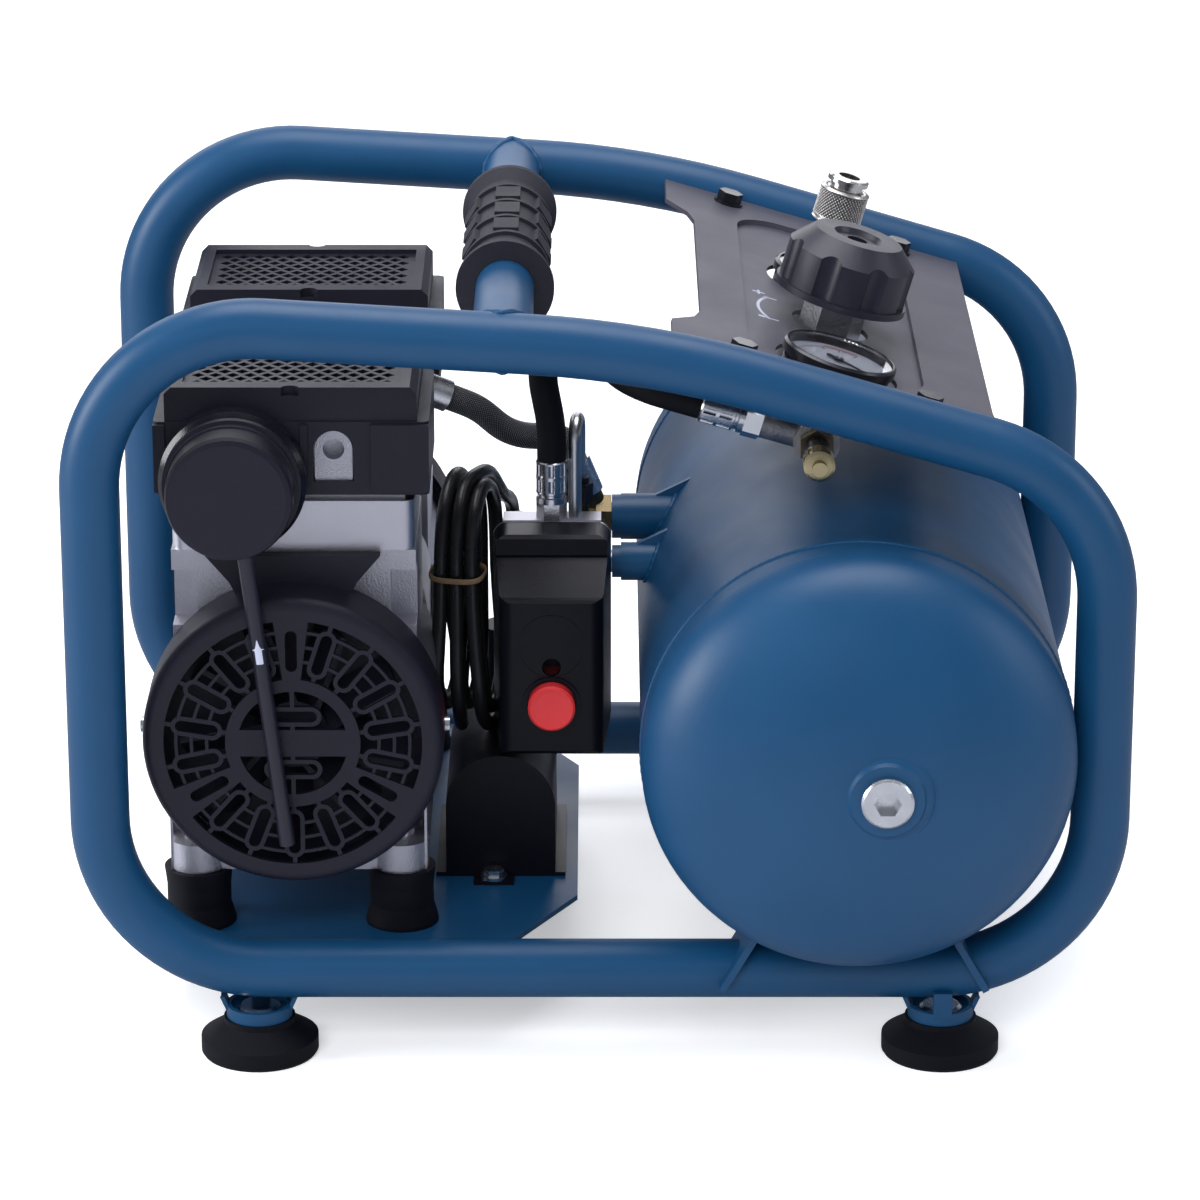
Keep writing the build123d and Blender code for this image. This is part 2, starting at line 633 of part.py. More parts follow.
# ---------------------------------------------------------------- stator, rotor and pistons
def stator_core():
    """Stack of steel laminations, square with rounded corners, bored for the rotor."""
    outline = Plane(origin=(MOTOR_X, -CASE_INNER_Y, MOTOR_Z), z_dir=(0, 1, 0)) * RectangleRounded(
        STATOR_WIDTH, STATOR_WIDTH, STATOR_WIDTH / 3.2)
    stack = extrude(outline, 2 * CASE_INNER_Y)
    return stack - post(STATOR_BORE, (MOTOR_X, -CASE_INNER_Y, MOTOR_Z), (0, 1, 0), 2 * CASE_INNER_Y)


def end_winding():
    """Front ring of enamelled copper where the coils turn over the stack's end."""
    profile = [(STATOR_BORE + 3, 0), (WINDING_RADIUS, 0), (WINDING_RADIUS - 1.5, WINDING_LENGTH)]
    profile += [(STATOR_BORE + 4.5, WINDING_LENGTH)]
    return turned(profile, (MOTOR_X, -CASE_INNER_Y, MOTOR_Z), (0, -1, 0))


def main_bearing():
    """Front ball bearing, drawn as one ring between the shaft and its seat in the case."""
    seat = CASE_INNER_Y + WINDING_LENGTH + 2
    profile = [(SHAFT_RADIUS, 0), (BEARING_RADIUS, 0), (BEARING_RADIUS, BEARING_WIDTH)]
    profile += [(SHAFT_RADIUS, BEARING_WIDTH)]
    return turned(profile, (MOTOR_X, -seat, MOTOR_Z), (0, -1, 0))


def eccentric():
    """Front eccentric: a disc off the shaft's centre with a counterweight across from it."""
    near = CYLINDER_Y + ROD_THICKNESS / 2 + ECCENTRIC_GAP
    start = (MOTOR_X, -near, MOTOR_Z + CRANK_THROW)
    disc = post(ECCENTRIC_RADIUS, start, (0, -1, 0), ECCENTRIC_THICKNESS)
    sector = 24.0
    weight = post(sector + 8, (MOTOR_X, -near, MOTOR_Z), (0, -1, 0), ECCENTRIC_THICKNESS)
    weight &= slab((MOTOR_X - sector, MOTOR_X + sector), (-near - ECCENTRIC_THICKNESS, -near),
                   (MOTOR_Z - sector - 8, MOTOR_Z - 4))
    return disc + weight - post(SHAFT_END_RADIUS, (MOTOR_X, -near, MOTOR_Z), (0, -1, 0), ECCENTRIC_THICKNESS)


SHAFT_TIP_Y = COVER_FRONT_Y - 8


def motor_shaft():
    """One shaft through both cases, stepped down beyond the bearings to its two ends."""
    shaft = post(SHAFT_RADIUS, (MOTOR_X, -SHAFT_STEP_Y, MOTOR_Z), (0, 1, 0), 2 * SHAFT_STEP_Y)
    return shaft + post(SHAFT_END_RADIUS, (MOTOR_X, -SHAFT_TIP_Y, MOTOR_Z), (0, 1, 0), 2 * SHAFT_TIP_Y)


def rotor_core():
    """Squirrel-cage rotor with its end rings, pressed on the shaft."""
    radius = STATOR_BORE - AIR_GAP
    ring = radius - 3
    half = CASE_INNER_Y
    cage = WINDING_LENGTH - 3
    profile = [(SHAFT_RADIUS, -half - cage), (ring, -half - cage), (ring, -half), (radius, -half)]
    profile += [(radius, half), (ring, half), (ring, half + cage), (SHAFT_RADIUS, half + cage)]
    return turned(profile, (MOTOR_X, 0, MOTOR_Z), (0, 1, 0))


def piston(drop):
    """Front wobble piston in one piece with its rod, lowered by drop from top dead centre."""
    eye_z = MOTOR_Z + CRANK_THROW
    crown_top = BLOCK_TOP - CROWN_GAP
    crown_z = crown_top - CROWN_THICKNESS
    near = -CYLINDER_Y - ROD_THICKNESS / 2
    eye = post(ROD_EYE_RADIUS, (MOTOR_X, near, eye_z), (0, 1, 0), ROD_THICKNESS)
    rod = slab((MOTOR_X - ROD_WIDTH / 2, MOTOR_X + ROD_WIDTH / 2), (near, near + ROD_THICKNESS),
               (eye_z + ROD_BORE + 2, crown_z))
    crown_radius = CYLINDER_BORE - PISTON_CLEARANCE
    crown = post(crown_radius, (MOTOR_X, -CYLINDER_Y, crown_z), (0, 0, 1), CROWN_THICKNESS)
    whole = eye + rod + crown - post(ROD_BORE, (MOTOR_X, near, eye_z), (0, 1, 0), ROD_THICKNESS)
    return Pos(0, 0, -drop) * whole


PARTS["stator_core"] = stator_core()
winding = end_winding()
PARTS["motor_windings"] = group([winding, flipped(winding)])
bearing = main_bearing()
PARTS["main_bearings"] = group([bearing, flipped(bearing)])
PARTS["motor_shaft"] = motor_shaft()
PARTS["rotor_core"] = rotor_core()
eccentric_front = eccentric()
PARTS["eccentrics"] = group([eccentric_front, Pos(0, 0, 2 * MOTOR_Z) * Rot(X=180) * eccentric_front])
PARTS["piston_front"] = piston(0)
PARTS["piston_rear"] = flipped(piston(2 * CRANK_THROW))


# ---------------------------------------------------------------- fans and fan covers
def fan():
    """Front cooling fan: a hub on the shaft's end with flat pitched blades."""
    back = CASE_FACE_Y + 3
    blade_thickness = 2.0
    pitch = 35
    hub = post(FAN_HUB_RADIUS, (0, 0, 0), (0, 0, 1), FAN_WIDTH)
    blade = slab((FAN_HUB_RADIUS - 3, FAN_RADIUS), (-blade_thickness / 2, blade_thickness / 2), (-11, 11))
    blade = Pos(0, 0, FAN_WIDTH / 2) * Rot(X=pitch) * blade
    blade &= post(FAN_RADIUS, (0, 0, 0), (0, 0, 1), FAN_WIDTH)
    wheel = joined([hub] + [Rot(Z=360 / FAN_BLADES * step) * blade for step in range(FAN_BLADES)])
    wheel -= post(SHAFT_END_RADIUS, (0, 0, 0), (0, 0, 1), FAN_WIDTH)
    return Plane(origin=(MOTOR_X, -back, MOTOR_Z), z_dir=(0, -1, 0)) * wheel


def ring_sector(inner, outer, start_angle, sweep_angle):
    """Flat face between two radii and two angles, in degrees from the x axis."""
    def spot(radius, angle):
        return (radius * math.cos(math.radians(angle)), radius * math.sin(math.radians(angle)))

    middle = start_angle + sweep_angle / 2
    end = start_angle + sweep_angle
    outer_arc = ThreePointArc(spot(outer, start_angle), spot(outer, middle), spot(outer, end))
    inner_arc = ThreePointArc(spot(inner, end), spot(inner, middle), spot(inner, start_angle))
    sides = [Line(outer_arc @ 1, inner_arc @ 0), Line(inner_arc @ 1, outer_arc @ 0)]
    return make_face([outer_arc, sides[0], inner_arc, sides[1]])


def oval(length, width):
    """Slot outline lying along x, centred on the origin."""
    return SlotOverall(length, width)


def fan_cover():
    """Front fan cover: a moulded bowl with three spokes, radial finger loops and thin ribs."""
    front = COVER_DEPTH
    skin = COVER_WALL
    bowl = post(COVER_RADIUS, (0, 0, 0), (0, 0, 1), COVER_DEPTH)
    bowl = fillet(bowl.edges().group_by(Axis.Z)[-1], COVER_EDGE_RADIUS)
    bowl -= post(COVER_RADIUS - skin, (0, 0, 0), (0, 0, 1), COVER_DEPTH - skin)
    spoke_angle = math.degrees(SPOKE_WIDTH / GRILLE_RADIUS)
    fingers = []
    slots = []
    finger_outer = FINGER_SLOT_WIDTH + 2 * FINGER_WALL
    finger_start = GRILLE_HUB_RADIUS + 3.5
    finger_end = GRILLE_RADIUS - 4.5
    finger_middle = (finger_start + finger_end) / 2
    window_sweep = 120 - spoke_angle
    finger_count = 5
    for spoke in range(3):
        angle = 90 + 120 * spoke
        window = ring_sector(GRILLE_HUB_RADIUS, GRILLE_RADIUS, angle + spoke_angle / 2, window_sweep)
        bowl -= extrude(Plane.XY.offset(front - skin) * window, skin)
        slot = oval(finger_end - finger_start, FINGER_SLOT_WIDTH)
        slots.append(Rot(Z=angle) * Pos(finger_middle, 0, 0) * slot)
        for step in range(finger_count):
            turn = angle + spoke_angle / 2 + window_sweep * (step + 0.5) / finger_count
            length = finger_end - finger_start
            loop = oval(length + 2 * FINGER_WALL, finger_outer)
            fingers.append(Rot(Z=turn) * Pos(finger_middle, 0, 0) * loop)
            stem_length = GRILLE_RADIUS - GRILLE_HUB_RADIUS + 2
            stem_middle = (GRILLE_RADIUS + GRILLE_HUB_RADIUS) / 2
            fingers.append(Rot(Z=turn) * Pos(stem_middle, 0, 0) * Rectangle(stem_length, FINGER_WALL))
            slots.append(Rot(Z=turn) * Pos(finger_middle, 0, 0) * oval(length, FINGER_SLOT_WIDTH))
    rib = 1.4
    ribs = []
    for share in (0.3, 0.55, 0.8):
        radius = GRILLE_HUB_RADIUS + share * (GRILLE_RADIUS - GRILLE_HUB_RADIUS)
        ribs.append(Circle(radius + rib / 2) - Circle(radius - rib / 2))
    grille = joined(fingers + ribs)
    bowl += extrude(Plane.XY.offset(front - skin) * grille, skin - 0.6)
    bar_half = 6.0
    for side in (-1, 1):
        segment = Circle(GRILLE_WINDOW_RADIUS) & Pos(0, side * (bar_half + 20)) * Rectangle(60, 40)
        loop_frame = Pos(0, side * (bar_half + 6)) * oval(25, finger_outer)
        segment -= loop_frame
        segment -= Rectangle(FINGER_WALL, 2 * GRILLE_WINDOW_RADIUS)
        slots.append(Pos(0, side * (bar_half + 6)) * oval(21, FINGER_SLOT_WIDTH))
        bowl -= extrude(Plane.XY.offset(front - skin) * segment, skin)
    bowl -= extrude(Plane.XY.offset(front - skin) * joined(slots), skin)
    return Plane(origin=(MOTOR_X, -CASE_FACE_Y, MOTOR_Z), x_dir=(1, 0, 0), z_dir=(0, -1, 0)) * bowl


def scoop():
    """Trapezoid duct panel that closes the gap between fan cover and cylinder deck."""
    wide = 37.5
    narrow = 23.5
    low = MOTOR_Z + COVER_RADIUS - 8
    outline = [(MOTOR_X - wide, DECK_Z - 0.5), (MOTOR_X + wide, DECK_Z - 0.5)]
    outline += [(MOTOR_X + narrow + 4, low + 8)]
    outline += [(MOTOR_X + narrow, low), (MOTOR_X - narrow, low), (MOTOR_X - narrow - 4, low + 8)]
    panel = extrude(Plane.XZ * make_face(Polyline(*outline, close=True)), 6)
    return Pos(0, -CASE_FACE_Y, 0) * panel


COVER_SCREW_RADIUS = 3.4


def cover_screws():
    """Two pan-head screws through the front fan cover's sides into the case."""
    screws = []
    for side in (-1, 1):
        start = (MOTOR_X + side * (COVER_RADIUS - 0.2), -CASE_FACE_Y - 9, MOTOR_Z + 1)
        screws.append(post(COVER_SCREW_RADIUS, start, (side, 0, 0), 2.2))
    return screws


fan_front = fan()
PARTS["fans"] = group([fan_front, flipped(fan_front)])
cover_front = fan_cover() + scoop()
PARTS["fan_covers"] = group([cover_front, flipped(cover_front)])
screws_front = [screw - cover_front for screw in cover_screws()]
zinc_screws += screws_front + [flipped(screw) for screw in screws_front]


# ---------------------------------------------------------------- hoods over the heads
def head_hood(has_filter):
    """Front moulded hood: stepped box, diamond mesh in its top, a window over the head's lug."""
    step_z = HOOD_HEIGHT - HOOD_STEP_DROP
    half = HOOD_WIDTH / 2
    top_half = HOOD_TOP_WIDTH / 2
    reach = HOOD_LENGTH / 2
    lean = 1.0
    lower = slab((-half, half), (-reach, reach), (0, step_z))
    upper = slab((-top_half, top_half), (lean - reach, reach - lean), (step_z, HOOD_HEIGHT))
    upper = chamfer(upper.edges().group_by(Axis.Z)[-1].filter_by(Axis.Y), 3)
    hood = fillet(lower.edges().filter_by(Axis.Z), 3) + upper
    wall = HOOD_WALL
    hood -= slab((wall - half, half - wall), (wall - reach, reach - wall), (0, step_z - wall))
    hood -= slab((wall - top_half, top_half - wall), (wall + lean - reach, reach - wall - lean),
                 (step_z - wall, HOOD_HEIGHT - 2 * wall))
    mesh_x = MESH_PITCH_X * MESH_COLUMNS / 2
    mesh_y = MESH_PITCH_Y * MESH_ROWS / 2 + 1
    rebate = 2.0
    hood -= slab((-mesh_x - 2, mesh_x + 2), (-mesh_y - 2, mesh_y + 2), (HOOD_HEIGHT - rebate, HOOD_HEIGHT))
    half_hole = MESH_HOLE / 2
    half_long = MESH_PITCH_Y * 0.58
    tips = [(-half_hole, 0), (0, -half_long), (half_hole, 0), (0, half_long)]
    diamond = make_face(Polyline(*tips, close=True))
    holes = []
    for row in range(MESH_ROWS):
        shift = 0.5 if row % 2 else 0.0
        for column in range(MESH_COLUMNS - row % 2):
            x = (column + 0.5 + shift - MESH_COLUMNS / 2) * MESH_PITCH_X
            y = (row + 0.5 - MESH_ROWS / 2) * MESH_PITCH_Y
            holes.append(Pos(x, y) * diamond)
    cutters = extrude(Plane.XY.offset(HOOD_HEIGHT - 2 * wall) * Sketch(children=holes), 2 * wall)
    hood -= cutters
    for side in (-1, 1):
        hood -= post(4.0, (0, side * reach, HOOD_HEIGHT - 4), (0, 0, 1), 4)
    window_x = LUG_SHIFT_X
    window_top = LUG_RISE
    gap = 0.6
    window_half = LUG_RADIUS + gap
    hood -= slab((window_x - window_half, window_x + window_half), (-reach, wall - reach), (6, window_top))
    hood -= post(LUG_RADIUS + gap, (window_x, -reach, window_top), (0, 1, 0), wall)
    for low, high in ((LUG_SHIFT_X + 16, half), (-half, -half + 5)):
        hood += slab((low, high), (-reach - 2, -reach), (1.5, step_z - 1))
    hood += slab((4, 7), (-reach - 2, -reach), (6, step_z - 1))
    pipe_x = CROSS_PIPE_X - MOTOR_X
    pipe_gap = CROSS_PIPE_RADIUS + 0.5
    pipe_rise = CROSS_PIPE_Z - HEAD_BOTTOM
    hood -= slab((pipe_x - pipe_gap, pipe_x + pipe_gap), (reach - wall, reach), (0, pipe_rise))
    hood -= post(pipe_gap, (pipe_x, reach - wall, pipe_rise), (0, 1, 0), wall)
    leg_inner = HEAD_WIDTH / 2 - HEAD_INSET + 0.3
    for side in (-1, 1):
        leg = sorted((side * leg_inner, side * (half - wall)))
        hood += slab(leg, (-6, 6), (-VALVE_PLATE_THICKNESS, 24))
    if has_filter:
        hood -= post(FILTER_SPIGOT_RADIUS + 0.2, (FILTER_X - MOTOR_X, -reach, FILTER_RISE), (0, 1, 0), wall)
    else:
        hood += slab((-half + 8, 2), (-reach - 2, -reach), (1.5, step_z - 12))
    return Pos(MOTOR_X, -CYLINDER_Y, HEAD_BOTTOM) * hood


PARTS["head_hood_front"] = head_hood(True)
PARTS["head_hood_rear"] = flipped(head_hood(False))


# ---------------------------------------------------------------- air filter and intake tube
def air_filter_base():
    """Round filter seat on a spigot through the hood into the front head."""
    back = HOOD_FRONT_Y
    spigot = HEAD_DEPTH / 2 - HEAD_INSET + CYLINDER_Y
    profile = [(0, spigot - back), (FILTER_SPIGOT_RADIUS, spigot - back), (FILTER_SPIGOT_RADIUS, 0.1)]
    profile += [(FILTER_CAP_RADIUS, 0.1), (FILTER_CAP_RADIUS, 3), (FILTER_RING_RADIUS - 1, 3.5)]
    profile += [(FILTER_RING_RADIUS, 5), (FILTER_RING_RADIUS, FILTER_RING_DEPTH - 2)]
    profile += [(FILTER_RING_RADIUS - 2, FILTER_RING_DEPTH), (0, FILTER_RING_DEPTH)]
    return turned(profile, (FILTER_X, -back, FILTER_Z), (0, -1, 0))


def air_filter_cap():
    """Snap-on cap with two stepped grip rings and a rounded face."""
    start = FILTER_RING_DEPTH
    face = start + FILTER_CAP_DEPTH
    profile = [(0, start), (FILTER_CAP_RADIUS + 2.3, start), (FILTER_CAP_RADIUS + 2.3, start + 3.5)]
    profile += [(FILTER_CAP_RADIUS + 0.8, start + 4), (FILTER_CAP_RADIUS + 0.8, start + 7)]
    profile += [(FILTER_CAP_RADIUS, start + 7.5), (FILTER_CAP_RADIUS, face - 3)]
    profile += [(FILTER_CAP_RADIUS - 0.9, face - 0.9), (FILTER_CAP_RADIUS - 3, face), (0, face)]
    return turned(profile, (FILTER_X, -HOOD_FRONT_Y, FILTER_Z), (0, -1, 0))


def intake_tube():
    """Stiff plastic tube hanging from the filter cap in front of the fan cover."""
    y = -COVER_FRONT_Y - INTAKE_TUBE_RADIUS - 0.3
    top_x = FILTER_X + 6
    sink = math.sqrt(FILTER_CAP_RADIUS ** 2 - 36)
    top = Vector(top_x, y, FILTER_Z - sink + 2)
    foot = Vector(top_x + INTAKE_TUBE_SHIFT, y, FILTER_Z - sink - INTAKE_TUBE_DROP)
    run = foot - top
    tube = post(INTAKE_TUBE_RADIUS, top, run, run.length)
    tube -= post(INTAKE_TUBE_RADIUS - 1, top, run, run.length)
    return tube


filter_cap = air_filter_cap()
PARTS["air_filter_base"] = air_filter_base()
PARTS["air_filter_cap"] = filter_cap
PARTS["intake_tube"] = intake_tube() - filter_cap


# ---------------------------------------------------------------- air tank
SWITCH_PORT_BORE = 5.1
VALVE_PORT_BORE = 6.6
DRAIN_THREAD_RADIUS = 5.0


def tank_port(y, z, radius, neck):
    """Welded port pointing to -X, stepped at its mouth, with a small fin on its weld."""
    depth = TANK_RADIUS - TANK_WALL
    reach = TANK_X - math.sqrt(depth ** 2 - (z - TANK_Z) ** 2)
    port = post(radius, (PORT_MOUTH_X + 4, y, z), (1, 0, 0), reach - PORT_MOUTH_X)
    port += post(neck, (PORT_MOUTH_X, y, z), (1, 0, 0), 6)
    foot_x = TANK_X - math.sqrt(depth ** 2 - (z + radius - TANK_Z) ** 2)
    outline = [(foot_x - 14, z + radius - 1), (foot_x + 6, z + radius + 9), (foot_x + 12, z + radius - 1)]
    fin = extrude(Plane.XZ * make_face(Polyline(*outline, close=True)), 1.5, both=True)
    return port + Pos(0, y, 0) * fin


def tank_shell():
    """Rolled steel shell between the two seams, with its two ports welded on."""
    shell = post(TANK_RADIUS, (TANK_X, -TANK_SEAM_Y, TANK_Z), (0, 1, 0), 2 * TANK_SEAM_Y)
    core = post(TANK_RADIUS - TANK_WALL, (TANK_X, -TANK_SEAM_Y, TANK_Z), (0, 1, 0), 2 * TANK_SEAM_Y)
    shell += tank_port(SWITCH_PORT_Y, SWITCH_PORT_Z, SWITCH_PORT_RADIUS, SWITCH_PORT_NECK)
    shell += tank_port(VALVE_PORT_Y, VALVE_PORT_Z, VALVE_PORT_RADIUS, VALVE_PORT_RADIUS - 0.5)
    shell -= core
    shell -= post(SWITCH_PORT_BORE, (PORT_MOUTH_X, SWITCH_PORT_Y, SWITCH_PORT_Z), (1, 0, 0), TANK_RADIUS)
    shell -= post(VALVE_PORT_BORE, (PORT_MOUTH_X, VALVE_PORT_Y, VALVE_PORT_Z), (1, 0, 0), TANK_RADIUS)
    return shell - post(DRAIN_THREAD_RADIUS, (TANK_X, 0, TANK_Z), (0, 0, -1), TANK_RADIUS)


def tank_head():
    """Front dished head: straight flange, half-ellipse dome and a bung for the plug."""
    flange = HEAD_FLANGE
    radius = TANK_RADIUS
    inner = TANK_RADIUS - TANK_WALL
    outer_arc = EllipticalCenterArc((0, flange), radius, HEAD_DISH, start_angle=0, arc_size=90)
    inner_arc = EllipticalCenterArc((0, flange), inner, HEAD_DISH - TANK_WALL, start_angle=0, arc_size=90)
    edges = [Line((radius, 0), (radius, flange)), outer_arc]
    edges += [Line((0, flange + HEAD_DISH), (0, flange + HEAD_DISH - TANK_WALL)), inner_arc]
    edges += [Line((inner, flange), (inner, 0)), Line((inner, 0), (radius, 0))]
    dome = revolve(Plane.XZ * make_face(edges), Axis.Z)
    tip = flange + HEAD_DISH
    bung_profile = [(0, tip - 7), (BUNG_RADIUS + 5.5, tip - 3.5), (BUNG_RADIUS + 1, tip)]
    bung_profile += [(BUNG_RADIUS, tip + BUNG_PROUD), (0, tip + BUNG_PROUD)]
    dome += turned(bung_profile, (PLUG_SHIFT_X, 0, 0))
    dome -= post(PLUG_THREAD_RADIUS, (PLUG_SHIFT_X, 0, 0), (0, 0, 1), tip + BUNG_PROUD)
    return Plane(origin=(TANK_X, -TANK_SEAM_Y, TANK_Z), x_dir=(1, 0, 0), z_dir=(0, -1, 0)) * dome


def tank_plug():
    """Front hexagon-socket plug screwed into the bung."""
    place = Plane(origin=(TANK_X + PLUG_SHIFT_X, -BUNG_FACE_Y, TANK_Z), x_dir=(1, 0, 0), z_dir=(0, -1, 0))
    profile = [(0, -9), (PLUG_THREAD_RADIUS, -9), (PLUG_THREAD_RADIUS, 0), (PLUG_RADIUS, 0)]
    profile += [(PLUG_RADIUS, PLUG_HEAD - 1), (PLUG_RADIUS - 1, PLUG_HEAD), (0, PLUG_HEAD)]
    plug = turned(profile)
    socket_flats = 10.0
    socket_depth = 6.0
    plug -= Pos(0, 0, PLUG_HEAD - socket_depth) * extrude(
        RegularPolygon(socket_flats / 2, 6, major_radius=False), socket_depth)
    return place * plug


def tank_gusset(side, y_side):
    """One sloping plate that carries the tank on a bottom tube."""
    tilt = GUSSET_TILT * side
    foot_x = TANK_X + side * GUSSET_SPREAD
    plate = slab((-GUSSET_THICKNESS / 2, GUSSET_THICKNESS / 2), (0, GUSSET_LENGTH), (-8, 40))
    plate = Pos(foot_x, LOOP_HALF_SPAN - TUBE_RADIUS - 3, TUBE_Z + 3) * Rot(Y=-tilt) * plate
    plate = plate if y_side > 0 else flipped(plate)
    tank = post(TANK_RADIUS, (TANK_X, -TANK_TIP_Y, TANK_Z), (0, 1, 0), 2 * TANK_TIP_Y)
    return plate - both_bars - tank



def drain_cock():
    """Drain valve screwed into the lowest point of the tank, with its spindle below."""
    top = TANK_Z - TANK_RADIUS
    cock = post(DRAIN_THREAD_RADIUS, (TANK_X, 0, top - 2), (0, 0, 1), 5)
    cock += hex_post(14, (TANK_X, 0, top - 8), (0, 0, 1), 6)
    cock += post(6, (TANK_X, 0, top - 18), (0, 0, 1), 10)
    return cock + post(DRAIN_SPINDLE_RADIUS, (TANK_X, 0, top - 31), (0, 0, 1), 13)


def drain_knob():
    """Knurled thumb knob on the drain spindle."""
    top = TANK_Z - TANK_RADIUS - 19.5
    height = 10.0
    knob = post(9, (TANK_X, 0, top - height), (0, 0, 1), height)
    for turn in range(12):
        groove = post(1.2, (9.4, 0, 0), (0, 0, 1), height)
        knob -= Pos(TANK_X, 0, top - height) * Rot(Z=30 * turn) * groove
    return knob - post(DRAIN_SPINDLE_RADIUS + 0.05, (TANK_X, 0, top - height), (0, 0, 1), height)


DRAIN_SPINDLE_RADIUS = 3.0
PARTS["tank_shell"] = tank_shell()
dome_front = tank_head()
PARTS["tank_heads"] = group([dome_front, flipped(dome_front)])
plug_front = tank_plug()
PARTS["tank_plugs"] = group([plug_front, flipped(plug_front)])
gussets = [tank_gusset(side, end) for side in (-1, 1) for end in (-1, 1)]
PARTS["drain_cock"] = drain_cock()
PARTS["drain_knob"] = drain_knob()


# ---------------------------------------------------------------- pressure switch
SWITCH_LOW_Z = 110.0
SWITCH_BLOCK_HALF = 22.0
SWITCH_BLOCK_TOP = 197.5
GLAND_X = -32.0
GLAND_Z = 130.0
GLAND_RADIUS = 6.5
GLAND_LENGTH = 14.0
BUTTON_STEM = 4.0


def switch_envelope(inset, back_y, profile):
    """Form of the switch cover from its side profile, drawn in by inset on every side but the back."""
    front = SWITCH_FRONT_Y + inset
    low = SWITCH_BOTTOM_Z + inset
    top = SWITCH_TOP_Z - inset
    corner = SWITCH_CORNER_RADIUS - inset
    plan = [(-SWITCH_BACK_WIDTH / 2 + inset, back_y), (-SWITCH_FRONT_WIDTH / 2 + inset, front)]
    plan += [(-x, y) for x, y in reversed(plan)]
    plan = make_face(Polyline(*plan, close=True))
    plan = fillet(plan.vertices().group_by(Axis.Y)[0], corner)
    half = SWITCH_BACK_WIDTH / 2 - inset
    front_view = make_face(Polyline((-half, low), (half, low), (half, top), (-half, top), close=True))
    front_view = fillet(front_view.vertices().group_by(Axis.Y)[-1], corner + 1)
    front_view = fillet(front_view.vertices().group_by(Axis.Y)[0], corner - 2)
    form = extrude(Plane.YZ * make_face(Polyline(*profile, close=True)), 40, both=True)
    form &= extrude(plan, 250)
    form &= extrude(Plane.XZ * front_view, 80, both=True)
    return Pos(SWITCH_X, 0, 0) * form


def switch_outside(back_y):
    """Outer form: proud lower front, sloping upper front, a groove, then a plain top band."""
    front = SWITCH_FRONT_Y
    ridge = SWITCH_RIDGE_Z
    band = SWITCH_BAND_Z
    profile = [(back_y, SWITCH_BOTTOM_Z), (front + 2, SWITCH_BOTTOM_Z), (front, SWITCH_BOTTOM_Z + 2)]
    profile += [(front, ridge - 1.2), (front + 1.2, ridge), (front + 3, ridge + 0.6)]
    edge = SWITCH_BAND_Y
    profile += [(edge - 1, band - 1.2), (edge + 0.6, band - 0.4), (edge - 0.6, band)]
    profile += [(edge + 1, SWITCH_TOP_Z - 1.5), (edge + 3, SWITCH_TOP_Z), (back_y, SWITCH_TOP_Z)]
    return switch_envelope(0, back_y, profile)


def switch_inside(back_y):
    """Hollow of the cover, one wall inside the outer form."""
    wall = SWITCH_WALL
    front = SWITCH_FRONT_Y + wall
    profile = [(back_y, SWITCH_BOTTOM_Z + wall), (front, SWITCH_BOTTOM_Z + wall)]
    profile += [(front, SWITCH_RIDGE_Z - 2 * wall), (SWITCH_BAND_Y + wall, SWITCH_BAND_Z - 2 * wall)]
    profile += [(SWITCH_BAND_Y + 3 + wall, SWITCH_TOP_Z - wall), (back_y, SWITCH_TOP_Z - wall)]
    return switch_envelope(wall, back_y, profile)


def switch_cover():
    """Moulded cover, open at the back, with a hole for the button and one for its screw."""
    cover = switch_outside(SWITCH_BACK_Y) - switch_inside(SWITCH_BACK_Y + 1)
    front = SWITCH_FRONT_Y
    cover += post(BUTTON_RADIUS + 2.3, (SWITCH_X, front - 1, BUTTON_Z), (0, 1, 0), SWITCH_WALL + 1)
    emblem_ring = post(SWITCH_RING_RADIUS, (SWITCH_X, front - 0.3, SWITCH_RING_Z), (0, 1, 0), 1)
    emblem_ring -= post(SWITCH_RING_RADIUS - 0.8, (SWITCH_X, front - 1, SWITCH_RING_Z), (0, 1, 0), 3)
    cover += emblem_ring
    cover -= post(BUTTON_RADIUS + BUTTON_CLEARANCE, (SWITCH_X, front - 1, BUTTON_Z), (0, 1, 0), 8)
    return cover - post(4.2, (SWITCH_X, front - 1, BUTTON_Z + 17.2), (0, 1, 0), SWITCH_WALL + 1)


def switch_base():
    """Die-cast block behind the cover: flange, air chamber, tank boss and button guide."""
    rim_back = SWITCH_BACK_Y + 2
    rim = switch_outside(rim_back) & slab((-60, 20), (SWITCH_BACK_Y, rim_back), (90, 210))
    base = rim + slab((SWITCH_X - SWITCH_BLOCK_HALF, SWITCH_X + SWITCH_BLOCK_HALF),
                      (SWITCH_BACK_Y + 1, SWITCH_BASE_Y), (SWITCH_LOW_Z, SWITCH_BLOCK_TOP))
    base += post(5, (SWITCH_X + SWITCH_BLOCK_HALF - 1, SWITCH_PORT_Y, SWITCH_PORT_Z), (1, 0, 0), 14)
    base += slab((SWITCH_X - 9, SWITCH_X + 9), (-35, SWITCH_BACK_Y), (BUTTON_Z - 9, BUTTON_Z + 9))
    return base - post(BUTTON_STEM + 0.05, (SWITCH_X, -35, BUTTON_Z), (0, 1, 0), 23)


